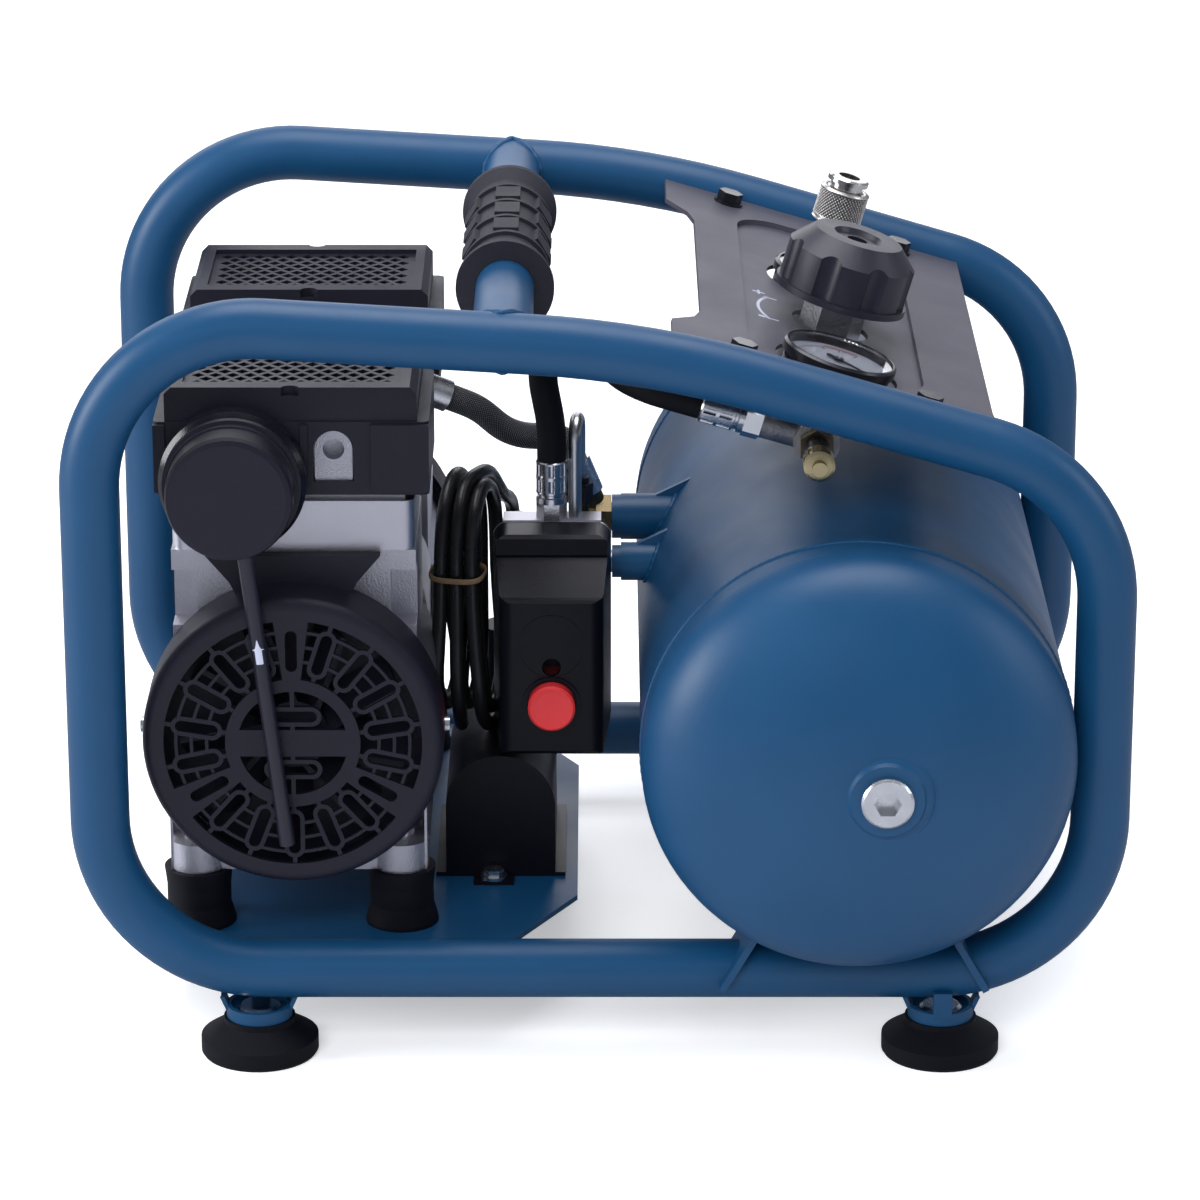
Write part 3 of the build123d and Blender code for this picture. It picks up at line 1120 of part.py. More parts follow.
def switch_button():
    """Red push button with a dished face on a stem that runs in the guide."""
    face = SWITCH_FRONT_Y - BUTTON_PROUD
    profile = [(0, 1.0), (BUTTON_RADIUS - 3, 0.4), (BUTTON_RADIUS - 1, 0), (BUTTON_RADIUS, 1)]
    profile += [(BUTTON_RADIUS, 12), (BUTTON_STEM, 12), (BUTTON_STEM, 37), (0, 37)]
    return turned(profile, (SWITCH_X, face, BUTTON_Z), (0, 1, 0))


def cord_gland():
    """Hexagon-based cable gland in the back of the switch block."""
    gland = hex_post(15, (GLAND_X, SWITCH_BASE_Y, GLAND_Z), (0, 1, 0), 5)
    return gland + post(GLAND_RADIUS, (GLAND_X, SWITCH_BASE_Y, GLAND_Z), (0, 1, 0), GLAND_LENGTH)


PARTS["pressure_switch_cover"] = switch_cover()
PARTS["pressure_switch_base"] = switch_base()
PARTS["switch_button"] = switch_button()


# ---------------------------------------------------------------- motor capacitor
CAPACITOR_X = -44.5
CAPACITOR_COVER_RADIUS = 24.5
CAPACITOR_COVER_Y = (-59.0, 25.0)
CAPACITOR_COVER_WALL = 1.6
CAPACITOR_RADIUS = 20.0
ARCH_CENTRE_Z = 78.0


def arch(inset, y_range, low):
    """Block with a half-round top, drawn in by inset."""
    radius = CAPACITOR_COVER_RADIUS - inset
    start, end = y_range
    block = slab((CAPACITOR_X - radius, CAPACITOR_X + radius), y_range, (low, ARCH_CENTRE_Z))
    return block + post(radius, (CAPACITOR_X, start, ARCH_CENTRE_Z), (0, 1, 0), end - start)


def capacitor_cover():
    """Arched cover on the base plate with a side flange and a screw tab in front."""
    start, end = CAPACITOR_COVER_Y
    wall = CAPACITOR_COVER_WALL
    cover = arch(0, CAPACITOR_COVER_Y, PLATE_TOP)
    cover += slab((CAPACITOR_X - 29, CAPACITOR_X + 29), CAPACITOR_COVER_Y, (PLATE_TOP, PLATE_TOP + 2))
    cover += slab((CAPACITOR_X - 12, CAPACITOR_X + 6), (start - 11, start), (PLATE_TOP, PLATE_TOP + 2))
    cover -= arch(wall, (start + wall, end - wall), PLATE_TOP)
    return cover - post(CASE_SCREW_RADIUS, (CAPACITOR_X - 3, start - 6, PLATE_TOP), (0, 0, 1), 2)


def capacitor():
    """Run capacitor can with its rolled rim and two terminals."""
    start = CAPACITOR_COVER_Y[0] + 12
    end = CAPACITOR_COVER_Y[1] - CAPACITOR_COVER_WALL
    centre = (CAPACITOR_X, end, PLATE_TOP + 0.2 + CAPACITOR_RADIUS)
    can = post(CAPACITOR_RADIUS - 1, centre, (0, -1, 0), end - start)
    can += post(CAPACITOR_RADIUS, (CAPACITOR_X, start + 3, centre[2]), (0, -1, 0), 3)
    for side in (-1, 1):
        x = CAPACITOR_X + side * 6
        can += slab((x - 0.4, x + 0.4), (start - 8, start), (centre[2] - 3, centre[2] + 3))
    return can


CASE_SCREW_RADIUS = 2.5
cover_screw = hex_post(8, (CAPACITOR_X - 3, CAPACITOR_COVER_Y[0] - 6, PLATE_TOP + 3.2), (0, 0, 1), 3)
cover_screw += post(6, (CAPACITOR_X - 3, CAPACITOR_COVER_Y[0] - 6, PLATE_TOP + 2), (0, 0, 1), 1.4)
cover_screw += post(CASE_SCREW_RADIUS, (CAPACITOR_X - 3, CAPACITOR_COVER_Y[0] - 6, PLATE_TOP), (0, 0, 1), 3)
PARTS["capacitor_cover"] = capacitor_cover()
PARTS["capacitor"] = capacitor()
PARTS["zinc_screws"] = group(zinc_screws + [cover_screw])


# ---------------------------------------------------------------- control panel
def panel_spot(s, y, h):
    """World point at s down the slope, y across and h above the tubes' plane."""
    return PANEL_PLANE.from_local_coords(Vector(s, y, h))


def panel_sheet():
    """Folded sheet between the sloping tubes, with a drawn recess and four instrument holes."""
    top = PANEL_TOP
    low = PANEL_TOP - PANEL_THICKNESS
    edge = LOOP_HALF_SPAN - TUBE_RADIUS
    inner = PANEL_TAB_INNER - PANEL_TAB_SLOPE
    half = [(PANEL_RIGHT, edge), (PANEL_LEFT, edge), (PANEL_LEFT, PANEL_TAB_INNER), (PANEL_WAIST - 3, inner)]
    half += [(PANEL_WAIST, inner - 12)]
    outline = half + [(s, -y) for s, y in reversed(half)]
    sheet = extrude(Plane.XY.offset(low) * make_face(Polyline(*outline, close=True)), PANEL_THICKNESS)
    sheet += slab((PANEL_RIGHT - PANEL_THICKNESS, PANEL_RIGHT), (-edge + 14, edge - 14), (top - 8, top))
    middle = (PANEL_RECESS_LEFT + PANEL_RECESS_RIGHT) / 2
    width = PANEL_RECESS_RIGHT - PANEL_RECESS_LEFT
    drawn = Pos(middle, 0) * RectangleRounded(width + 3, 2 * PANEL_RECESS_HALF + 3, 24)
    hollow = Pos(middle, 0) * RectangleRounded(width, 2 * PANEL_RECESS_HALF, 22.5)
    sheet += extrude(Plane.XY.offset(low - PANEL_RECESS_DEPTH) * drawn, PANEL_RECESS_DEPTH + 0.5)
    sheet -= extrude(Plane.XY.offset(top - PANEL_RECESS_DEPTH) * hollow, PANEL_RECESS_DEPTH)
    holes = [(TANK_GAUGE_Y, GAUGE_RADIUS + 2.2), (OUTLET_GAUGE_Y, GAUGE_RADIUS + 2.2)]
    holes += [(REGULATOR_Y, BONNET_RADIUS + 3.5), (COUPLER_Y, RISER_RADIUS + 0.3)]
    for y, radius in holes:
        sheet -= post(radius, (MANIFOLD_SHIFT, y, -8), (0, 0, 1), 16)
    for s, y in PANEL_SCREW_PLACES:
        sheet -= post(PANEL_SCREW_RADIUS, (s, y, low), (0, 0, 1), PANEL_THICKNESS)
    return PANEL_PLANE * sheet


def panel_bracket(s, y):
    """Small plate welded to a tube's inner side, just under the sheet."""
    low = PANEL_TOP - PANEL_THICKNESS
    outer = math.copysign(LOOP_HALF_SPAN - 5, y)
    plate = slab((s - 9, s + 9), sorted((math.copysign(PANEL_SCREW_Y - 9, y), outer)), (low - 3, low))
    plate -= post(PANEL_SCREW_RADIUS, (s, y, low - 3), (0, 0, 1), 3)
    return PANEL_PLANE * plate - both_bars


def panel_screw(s, y):
    """Hexagon flange screw through the sheet and its bracket."""
    screw = post(PANEL_SCREW_RADIUS, (s, y, PANEL_TOP - 12), (0, 0, 1), 12)
    screw += post(6.8, (s, y, PANEL_TOP), (0, 0, 1), 1.4)
    return PANEL_PLANE * (screw + hex_post(10, (s, y, PANEL_TOP + 1.4), (0, 0, 1), 4.2))


PANEL_SCREW_RADIUS = 3.0
PANEL_SCREW_LINES = (PANEL_SCREW_LEFT, PANEL_SCREW_RIGHT)
PANEL_SCREW_PLACES = [(s, side * PANEL_SCREW_Y) for s in PANEL_SCREW_LINES for side in (-1, 1)]
RISER_RADIUS = 8.0
PARTS["control_panel"] = panel_sheet()
brackets = [panel_bracket(s, y) for s, y in PANEL_SCREW_PLACES]
PARTS["welded_brackets"] = group(foot_cups + gussets + brackets)
PARTS["panel_screws"] = group(panel_screw(s, y) for s, y in PANEL_SCREW_PLACES)


# ---------------------------------------------------------------- regulator and its manifold
MANIFOLD_FRONT_Y = -112.0
MANIFOLD_REAR_Y = 78.0
ARM_Y = -100.0
ARM_RADIUS = 7.0
ARM_END = -15.0
SPINDLE_RADIUS = 4.0
BONNET_TOP = 14.2
REGULATOR_BODY_HEIGHT = 34.0
COUPLER_BASE = 4.0
KNOB_TOP = KNOB_BOTTOM + KNOB_SKIRT + KNOB_SIDE + KNOB_BEVEL


def manifold():
    """Pipe under the panel with regulator body, gauge risers, coupler riser and hose arm."""
    s = MANIFOLD_SHIFT
    h = -MANIFOLD_DEPTH
    under_panel = PANEL_TOP - PANEL_THICKNESS - PANEL_RECESS_DEPTH
    body = post(MANIFOLD_RADIUS, (s, MANIFOLD_FRONT_Y, h), (0, 1, 0), MANIFOLD_REAR_Y - MANIFOLD_FRONT_Y)
    body += post(REGULATOR_BODY_RADIUS, (s, REGULATOR_Y, h - 12), (0, 0, 1), REGULATOR_BODY_HEIGHT)
    bonnet_flats = 2 * BONNET_RADIUS * math.cos(math.pi / 6)
    body += hex_post(bonnet_flats, (s, REGULATOR_Y, h), (0, 0, 1), BONNET_TOP - h)
    body += post(SPINDLE_RADIUS, (s, REGULATOR_Y, h), (0, 0, 1), KNOB_TOP - 7 - h)
    for y in (TANK_GAUGE_Y, OUTLET_GAUGE_Y):
        body += post(6, (s, y, h), (0, 0, 1), GAUGE_TOP - GAUGE_DEPTH - h)
    body += post(RISER_RADIUS, (s, COUPLER_Y, h), (0, 0, 1), COUPLER_BASE - h)
    body += post(RISER_RADIUS + 4, (s, COUPLER_Y, h), (0, 0, 1), under_panel - h)
    body += post(ARM_RADIUS, (s, ARM_Y, h), (-1, 0, 0), s - ARM_END)
    return PANEL_PLANE * body


def panel_nut():
    """Hexagon nut that clamps the panel down on the coupler riser's shoulder."""
    floor = PANEL_TOP - PANEL_RECESS_DEPTH
    place = (MANIFOLD_SHIFT, COUPLER_Y, floor)
    nut = hex_post(19, place, (0, 0, 1), COUPLER_BASE - floor)
    return PANEL_PLANE * (nut - post(RISER_RADIUS, place, (0, 0, 1), COUPLER_BASE - floor))


def knob():
    """Lobed hand knob with a thin skirt, a bevelled top and a dished centre."""
    shoulder = KNOB_BOTTOM + KNOB_SKIRT
    side_top = shoulder + KNOB_SIDE
    profile = [(0, shoulder), (KNOB_BODY_RADIUS, shoulder), (KNOB_BODY_RADIUS, side_top)]
    profile += [(KNOB_BODY_RADIUS - KNOB_BEVEL, KNOB_TOP), (11, KNOB_TOP)]
    profile += [(9.5, KNOB_TOP - 2), (0, KNOB_TOP - 2)]
    body = turned(profile)
    depth = KNOB_BODY_RADIUS - KNOB_GROOVE_RADIUS
    for turn in range(KNOB_LOBES):
        groove = post(7, (KNOB_BODY_RADIUS + 7 - depth, 0, shoulder), (0, 0, 1), KNOB_TOP)
        body -= Rot(Z=(turn + 0.5) * 360 / KNOB_LOBES) * groove
    body += post(KNOB_SKIRT_RADIUS, (0, 0, KNOB_BOTTOM), (0, 0, 1), KNOB_SKIRT)
    body -= post(SPINDLE_RADIUS + 0.05, (0, 0, KNOB_BOTTOM), (0, 0, 1), KNOB_TOP)
    body -= post(SPINDLE_RADIUS + 0.5, (0, 0, KNOB_TOP - 6), (0, 0, 1), 6)
    return PANEL_PLANE * Pos(MANIFOLD_SHIFT, REGULATOR_Y, 0) * body


def gauge_case(y):
    """Steel cup with a rolled bezel, standing on its riser."""
    back = GAUGE_TOP - GAUGE_DEPTH
    inner = GAUGE_RADIUS - GAUGE_WALL
    profile = [(0, back), (GAUGE_RADIUS - 1.5, back), (GAUGE_RADIUS - 1.5, GAUGE_TOP - 5)]
    profile += [(GAUGE_RADIUS, GAUGE_TOP - 4.5), (GAUGE_RADIUS, GAUGE_TOP - 1), (GAUGE_RADIUS - 1, GAUGE_TOP)]
    profile += [(inner, GAUGE_TOP), (inner, back + GAUGE_WALL), (0, back + GAUGE_WALL)]
    return PANEL_PLANE * turned(profile, (MANIFOLD_SHIFT, y, 0))


def gauge_dial(y):
    """White dial on its movement block, with the pin that the needle turns on."""
    floor = GAUGE_TOP - GAUGE_DEPTH + GAUGE_WALL
    radius = GAUGE_RADIUS - GAUGE_WALL - 0.1
    profile = [(0, floor), (10, floor), (10, 1.5), (radius, 1.5), (radius, 2.3), (PIN_RADIUS, 2.3)]
    profile += [(PIN_RADIUS, 4.4), (0, 4.4)]
    return PANEL_PLANE * turned(profile, (MANIFOLD_SHIFT, y, 0))


def gauge_lens(y):
    """Flat glass let into the bezel."""
    radius = GAUGE_RADIUS - GAUGE_WALL
    return PANEL_PLANE * post(radius, (MANIFOLD_SHIFT, y, 6.0), (0, 0, 1), 1.2)


def gauge_needle(y, turn):
    """Tapered needle with a round hub and a short tail."""
    outline = [(-6, -1.3), (0, -0.9), (17.5, -0.25), (17.5, 0.25), (0, 0.9), (-6, 1.3)]
    needle = extrude(make_face(Polyline(*outline, close=True)), 0.6) + post(2.2, (0, 0, 0), (0, 0, 1), 0.9)
    needle -= post(PIN_RADIUS + 0.05, (0, 0, 0), (0, 0, 1), 0.9)
    return PANEL_PLANE * Pos(MANIFOLD_SHIFT, y, 3.1) * Rot(Z=turn) * needle


PIN_RADIUS = 0.6
NEEDLE_ZERO = -40.0
PARTS["regulator_manifold"] = manifold()
PARTS["regulator_knob"] = knob()
PARTS["gauge_cases"] = group(gauge_case(y) for y in (TANK_GAUGE_Y, OUTLET_GAUGE_Y))
PARTS["gauge_dials"] = group(gauge_dial(y) for y in (TANK_GAUGE_Y, OUTLET_GAUGE_Y))
PARTS["gauge_lenses"] = group(gauge_lens(y) for y in (TANK_GAUGE_Y, OUTLET_GAUGE_Y))
PARTS["tank_gauge_needle"] = gauge_needle(TANK_GAUGE_Y, NEEDLE_ZERO)
PARTS["outlet_gauge_needle"] = gauge_needle(OUTLET_GAUGE_Y, NEEDLE_ZERO)


# ---------------------------------------------------------------- outlet coupler, safety valve
def coupler_body():
    """Quick coupler: hexagon foot, plain barrel, collar and a blind socket for the plug."""
    neck = COUPLER_RADIUS - 1
    profile = [(0, COUPLER_BASE + 8), (COUPLER_RADIUS, COUPLER_BASE + 8)]
    profile += [(COUPLER_RADIUS, SLEEVE_BOTTOM + SLEEVE_LENGTH), (neck, SLEEVE_BOTTOM + SLEEVE_LENGTH + 0.5)]
    profile += [(neck, COUPLER_TOP - 2.8), (SLEEVE_RADIUS - 2, COUPLER_TOP - 2.8)]
    profile += [(SLEEVE_RADIUS - 2, COUPLER_TOP - 0.8), (SLEEVE_RADIUS - 2.8, COUPLER_TOP), (0, COUPLER_TOP)]
    body = turned(profile) + hex_post(17, (0, 0, COUPLER_BASE), (0, 0, 1), 8)
    socket_floor = COUPLER_TOP - COUPLER_SOCKET_DEPTH
    body -= post(COUPLER_SOCKET_RADIUS, (0, 0, socket_floor), (0, 0, 1), COUPLER_SOCKET_DEPTH)
    return PANEL_PLANE * Pos(MANIFOLD_SHIFT, COUPLER_Y, 0) * body


def coupler_sleeve():
    """Locking sleeve that slides on the barrel, grooved for the fingers."""
    bore = COUPLER_RADIUS + SLEEVE_CLEARANCE
    top = SLEEVE_LENGTH
    profile = [(bore, 0), (SLEEVE_RADIUS, 0), (SLEEVE_RADIUS, 4), (SLEEVE_RADIUS - 0.9, 4.6)]
    profile += [(SLEEVE_RADIUS - 0.9, 6.4), (SLEEVE_RADIUS, 7)]
    profile += [(SLEEVE_RADIUS, top - 1), (SLEEVE_RADIUS - 1, top)]
    profile += [(bore, top)]
    return PANEL_PLANE * turned(profile, (MANIFOLD_SHIFT, COUPLER_Y, SLEEVE_BOTTOM))


def safety_valve():
    """Relief valve screwed into the manifold's front end, with a knurled cap and pull hole."""
    start = panel_spot(MANIFOLD_SHIFT, MANIFOLD_FRONT_Y, -MANIFOLD_DEPTH)
    length = SAFETY_VALVE_LENGTH
    cap = SAFETY_VALVE_RADIUS
    profile = [(0, 6), (5.6, 6), (5.6, length - 15), (cap, length - 14.5), (cap, length - 5)]
    profile += [(cap - 1.2, length - 4.4), (3.2, length - 4), (3.2, length), (0, length)]
    valve = turned(profile, start, (0, -1, 0)) + hex_post(14, start, (0, -1, 0), 6)
    for turn in range(10):
        slot = Rot(Z=36 * turn) * slab((cap - 0.7, cap + 1), (-0.8, 0.8), (length - 13, length - 6))
        valve -= Plane(origin=start, z_dir=(0, -1, 0)) * slot
    hole_y = start.Y - length + 2
    return valve - post(1.0, (start.X - 8, hole_y, start.Z), (1, 0, 0), 16)


PARTS["coupler_body"] = coupler_body()
PARTS["coupler_sleeve"] = coupler_sleeve()
PARTS["safety_valve"] = safety_valve()


# ---------------------------------------------------------------- hoses, tubes and check valve
def ferrule(start, direction, radius, hex_size):
    """Hose end: a hexagon, a collar, then a sleeve crimped in two rows of eight dents."""
    hex_length = 7.5
    collar = hex_length + 2.5
    tip = FERRULE_LENGTH
    profile = [(0, hex_length), (radius, hex_length), (radius, collar), (radius - 0.9, collar + 0.5)]
    profile += [(radius - 0.9, collar + 1.5), (radius, collar + 2), (radius, tip - 0.6), (radius - 0.6, tip)]
    profile += [(0, tip)]
    sleeve = turned(profile, start, direction)
    row_length = 5.6
    dent_radius = 2.0
    plane = Plane(origin=start, z_dir=direction)
    for row in (collar + 3, tip - 1.2 - row_length):
        for turn in range(8):
            dent = Pos(radius + dent_radius - 0.8, 0, row) * Cylinder(dent_radius, row_length, align=STANDING)
            sleeve -= plane * Rot(Z=turn * 45) * dent
    return sleeve + hex_post(hex_size, start, direction, hex_length)


FERRULE_LENGTH = 27.0
SHORT_FERRULE = 12.0
HOSE_FOOT = Vector(-21.7, -6.0, SWITCH_BLOCK_TOP)
HOSE_START = HOSE_FOOT + Vector(0, 0, FERRULE_LENGTH)
HOSE_SOCKET = panel_spot(ARM_END, ARM_Y, -MANIFOLD_DEPTH)
HOSE_END = panel_spot(ARM_END - FERRULE_LENGTH, ARM_Y, -MANIFOLD_DEPTH)
HOSE_LAST_BEND = panel_spot(ARM_END - FERRULE_LENGTH - 31, ARM_Y, -MANIFOLD_DEPTH)
VALVE_END_X = -11.0
UNION_FOOT = Vector(-5.4, 23.9, 199.5)
UNION_LENGTH = 16.5
UNION_LEAN = Vector(-0.377, -0.034, 0.925)
OUTLET_FOOT = Vector(OUTLET_X, 0, CROSS_PIPE_Z)
OUTLET_LEAN = Vector(0.901, 0.160, -0.401)
UNLOADER_X = -11.2
UNLOADER_DOWN = (-9.5, 9.0)
UNLOADER_TOP = 241.0
UNLOADER_BEND = 7.0
NUT_FOOT_Z = 200.0

hose_route = [HOSE_START, HOSE_START + Vector(0, 0, 16), Vector(-27, -11, 271), Vector(-10, -50, 296)]
hose_route += [HOSE_LAST_BEND, HOSE_END]
hose_radii = easy_radii(hose_route)
PARTS["rubber_hose"] = pipe(hose_route, HOSE_RADIUS, hose_radii)

braid_start = OUTLET_FOOT + OUTLET_LEAN.normalized() * SHORT_FERRULE
braid_end = UNION_FOOT + UNION_LEAN.normalized() * UNION_LENGTH
braid_route = [braid_start, braid_start + OUTLET_LEAN.normalized() * 14.5, Vector(-40, 13, 230)]
braid_route += [braid_end + UNION_LEAN.normalized() * 12.4, braid_end]
braid_radii = easy_radii(braid_route)
PARTS["braided_hose"] = pipe(braid_route, BRAID_RADIUS, braid_radii)

ferrules = [ferrule(HOSE_FOOT, (0, 0, 1), HOSE_RADIUS + 0.5, 12)]
ferrules.append(ferrule(HOSE_SOCKET, HOSE_END - HOSE_SOCKET, HOSE_RADIUS + 1.0, 15))
ferrules.append(post(BRAID_RADIUS + 1.2, UNION_FOOT, UNION_LEAN, UNION_LENGTH))
outlet_sleeve = post(BRAID_RADIUS + 1.2, OUTLET_FOOT, OUTLET_LEAN, SHORT_FERRULE)
outlet_sleeve += post(BRAID_RADIUS + 1.2, OUTLET_FOOT, (-1, 0, 0), 4)
ferrules.append(outlet_sleeve - cross_pipe)
PARTS["line_fittings"] = group(ferrules + [panel_nut()])


def check_valve():
    """Brass non-return valve in the upper port, with an inlet boss and an unloader branch."""
    axis_y = VALVE_PORT_Y
    axis_z = VALVE_PORT_Z
    hex_x = PORT_MOUTH_X - 7.2
    valve = post(8, (VALVE_END_X, axis_y, axis_z), (1, 0, 0), PORT_MOUTH_X - VALVE_END_X - 0.2)
    valve += hex_post(18, (hex_x, axis_y, axis_z), (1, 0, 0), 7)
    valve += post(VALVE_PORT_BORE - 0.1, (hex_x, axis_y, axis_z), (1, 0, 0), 16)
    boss = 12.0
    valve += post(6.0, UNION_FOOT - UNION_LEAN.normalized() * boss, UNION_LEAN, boss)
    branch_x, branch_y = UNLOADER_DOWN
    valve += post(4.5, (branch_x, axis_y, axis_z), (0, -1, 0), axis_y - branch_y)
    valve += post(4.5, (branch_x, branch_y, axis_z - 4.5), (0, 0, 1), NUT_FOOT_Z - axis_z + 4.5)
    return valve


def unloader():
    """Thin bleed tube in a hairpin from the switch block to the check valve."""
    branch_x, branch_y = UNLOADER_DOWN
    route = [(UNLOADER_X, -6, SWITCH_BLOCK_TOP), (UNLOADER_X, -6, UNLOADER_TOP)]
    route += [(branch_x, branch_y, UNLOADER_TOP), (branch_x, branch_y, NUT_FOOT_Z)]
    return pipe(route, UNLOADER_RADIUS, [UNLOADER_BEND, UNLOADER_BEND])


def unloader_nut():
    """Black compression nut round the tube where it enters the check valve."""
    foot = (*UNLOADER_DOWN, NUT_FOOT_Z)
    nut = hex_post(11, foot, (0, 0, 1), 9) + post(4.6, foot, (0, 0, 1), 12)
    return nut - post(UNLOADER_RADIUS, foot, (0, 0, 1), 12)


PARTS["check_valve"] = check_valve()
PARTS["unloader_tube"] = unloader()
PARTS["black_glands"] = group([cord_gland(), unloader_nut()])


# ---------------------------------------------------------------- power cord
COIL_CENTRE = (-58.05, -17.0)
COIL_TURN = 78.2
COIL_BOTTOM = 102.3
COIL_TOP = 224.0
COIL_WIDTH = 62.0
COIL_BAND = 18.0
COIL_THICKNESS = 16.0
PLUG_BODY = (26.0, 20.0, 34.0)

coil_ahead = Vector(math.cos(math.radians(COIL_TURN)), math.sin(math.radians(COIL_TURN)), 0)
coil_middle = Vector(*COIL_CENTRE, (COIL_BOTTOM + COIL_TOP) / 2)
COIL_PLANE = Plane(origin=coil_middle, x_dir=coil_ahead, z_dir=Vector(0, 0, 1).cross(coil_ahead) * -1)


def cord_coil():
    """Tied hank of cord: one rounded ring standing on the capacitor cover."""
    height = COIL_TOP - COIL_BOTTOM
    outer = Rot(Z=90) * SlotOverall(height, COIL_WIDTH)
    inner = Rot(Z=90) * SlotOverall(height - 2 * COIL_BAND, COIL_WIDTH - 2 * COIL_BAND)
    ring = extrude(outer - inner, COIL_THICKNESS / 2, both=True)
    ring = chamfer(ring.edges().filter_by(GeomType.LINE, reverse=True) + ring.edges().filter_by(Axis.Y), 3.5)
    return COIL_PLANE * ring


def coil_exit(z):
    """Point on the hank's flat rear side at height z."""
    face = coil_middle + coil_ahead * (COIL_WIDTH / 2)
    return Vector(face.X, face.Y, z)


def power_plug():
    """Generic three-pin plug hanging from the cord's end, with a tapered strain relief."""
    tip = PLUG_CORD_END
    wide, deep, tall = PLUG_BODY
    relief = 12.0
    body = slab((-wide / 2, wide / 2), (-deep / 2, deep / 2), (-relief - tall, -relief))
    body = fillet(body.edges().filter_by(Axis.Z), 6)
    body += turned([(0, -relief - 1), (7.5, -relief - 1), (4.5, 0), (0, 0)])
    for side in (-1, 1):
        blade_x = side * 6.35
        body += slab((blade_x - 0.75, blade_x + 0.75), (-0.5, 5.8), (-relief - tall - 17, -relief - tall))
    body += post(2.4, (0, -5, -relief - tall), (0, 0, -1), 19)
    return Pos(tip.X, tip.Y, tip.Z) * body


gland_tip = Vector(GLAND_X, SWITCH_BASE_Y + GLAND_LENGTH, GLAND_Z)
inlet = coil_exit(172)
supply_route = [gland_tip, gland_tip + Vector(0, 44, 0), inlet + coil_ahead * 44, inlet]
outlet = coil_exit(188)
lead_route = [outlet, outlet + coil_ahead * 58, outlet + coil_ahead * 58 - Vector(0, 0, 56)]
PLUG_CORD_END = lead_route[-1]
supply_radii = easy_radii(supply_route)
lead_radii = easy_radii(lead_route)
PARTS["cord_coil"] = cord_coil()
supply_lead = pipe(supply_route, CORD_RADIUS, supply_radii)
plug_lead = pipe(lead_route, CORD_RADIUS, lead_radii)
PARTS["power_cord"] = group([supply_lead, plug_lead])
PARTS["power_plug"] = power_plug()
print("hose radii", [round(r, 1) for r in hose_radii])
print("braided hose radii", [round(r, 1) for r in braid_radii])
print("cord radii", [round(r, 1) for r in supply_radii + lead_radii])

# ---------------------------------------------------------------- export
os.makedirs("parts", exist_ok=True)
for name, shape in PARTS.items():
    export_step(shape, f"parts/{name}.step")
print(len(PARTS), "sub-parts")
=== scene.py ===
import math

import bmesh
import bpy
import numpy as np
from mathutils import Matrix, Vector


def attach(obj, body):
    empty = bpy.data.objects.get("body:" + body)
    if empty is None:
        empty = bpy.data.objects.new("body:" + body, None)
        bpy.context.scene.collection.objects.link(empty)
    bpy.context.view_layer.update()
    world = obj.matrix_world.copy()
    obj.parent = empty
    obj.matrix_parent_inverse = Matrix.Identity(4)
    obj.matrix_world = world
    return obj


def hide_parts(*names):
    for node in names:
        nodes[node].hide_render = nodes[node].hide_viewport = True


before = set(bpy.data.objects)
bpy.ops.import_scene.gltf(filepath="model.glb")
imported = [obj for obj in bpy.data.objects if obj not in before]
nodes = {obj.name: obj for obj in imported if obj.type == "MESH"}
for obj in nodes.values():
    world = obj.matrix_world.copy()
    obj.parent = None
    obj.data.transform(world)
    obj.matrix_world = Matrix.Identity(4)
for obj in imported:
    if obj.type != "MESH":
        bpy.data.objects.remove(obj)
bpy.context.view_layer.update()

# ---------------------------------------------------------------- welded frame
# Two roll bars bent from one-inch steel tube, a cross tube for the grip, flat brackets and a base
# plate. They are welded together and powder coated blue as one piece.
MM = 0.001  # Lengths are in mm. X runs across the machine, Y from its front (-) to its rear, Z up.
NOISE_LOW, NOISE_HIGH = 0.3, 0.7
BUMP_DEPTH = 0.0006
ROUGH_SPREAD = 0.06
TONE_DETAIL = 6
JOIN_WITHIN, FLAT_WITHIN = 1e-6, 1e-7


def wire(tree, *pairs):
    """Links each pair of sockets, from the first to the second."""
    for source, target in pairs:
        tree.links.new(source, target)


def group_of(name, inputs, outputs):
    """Empty node group with float inputs and their defaults; a default of None makes a colour."""
    tree = bpy.data.node_groups.new(name, "ShaderNodeTree")
    for label, default in inputs:
        kind = "NodeSocketColor" if default is None else "NodeSocketFloat"
        socket = tree.interface.new_socket(label, in_out="INPUT", socket_type=kind)
        if default is not None:
            socket.default_value = default
    for label, kind in outputs:
        tree.interface.new_socket(label, in_out="OUTPUT", socket_type=kind)
    return tree, tree.nodes.new("NodeGroupInput"), tree.nodes.new("NodeGroupOutput")


def relief_group():
    """Bump whose height is a noise value at the given scale, times the strength, over BUMP_DEPTH."""
    inputs = (("Scale", 900), ("Strength", 0.1), ("Detail", 3))
    tree, ends, out = group_of("fine_relief", inputs, (("Normal", "NodeSocketVector"),))
    place = tree.nodes.new("ShaderNodeTexCoord")
    noise = tree.nodes.new("ShaderNodeTexNoise")
    bump = tree.nodes.new("ShaderNodeBump")
    bump.inputs["Distance"].default_value = BUMP_DEPTH
    wire(tree, (place.outputs["Object"], noise.inputs["Vector"]),
         (ends.outputs["Scale"], noise.inputs["Scale"]),
         (ends.outputs["Detail"], noise.inputs["Detail"]),
         (noise.outputs["Fac"], bump.inputs["Height"]),
         (ends.outputs["Strength"], bump.inputs["Strength"]),
         (bump.outputs["Normal"], out.inputs["Normal"]))
    return tree


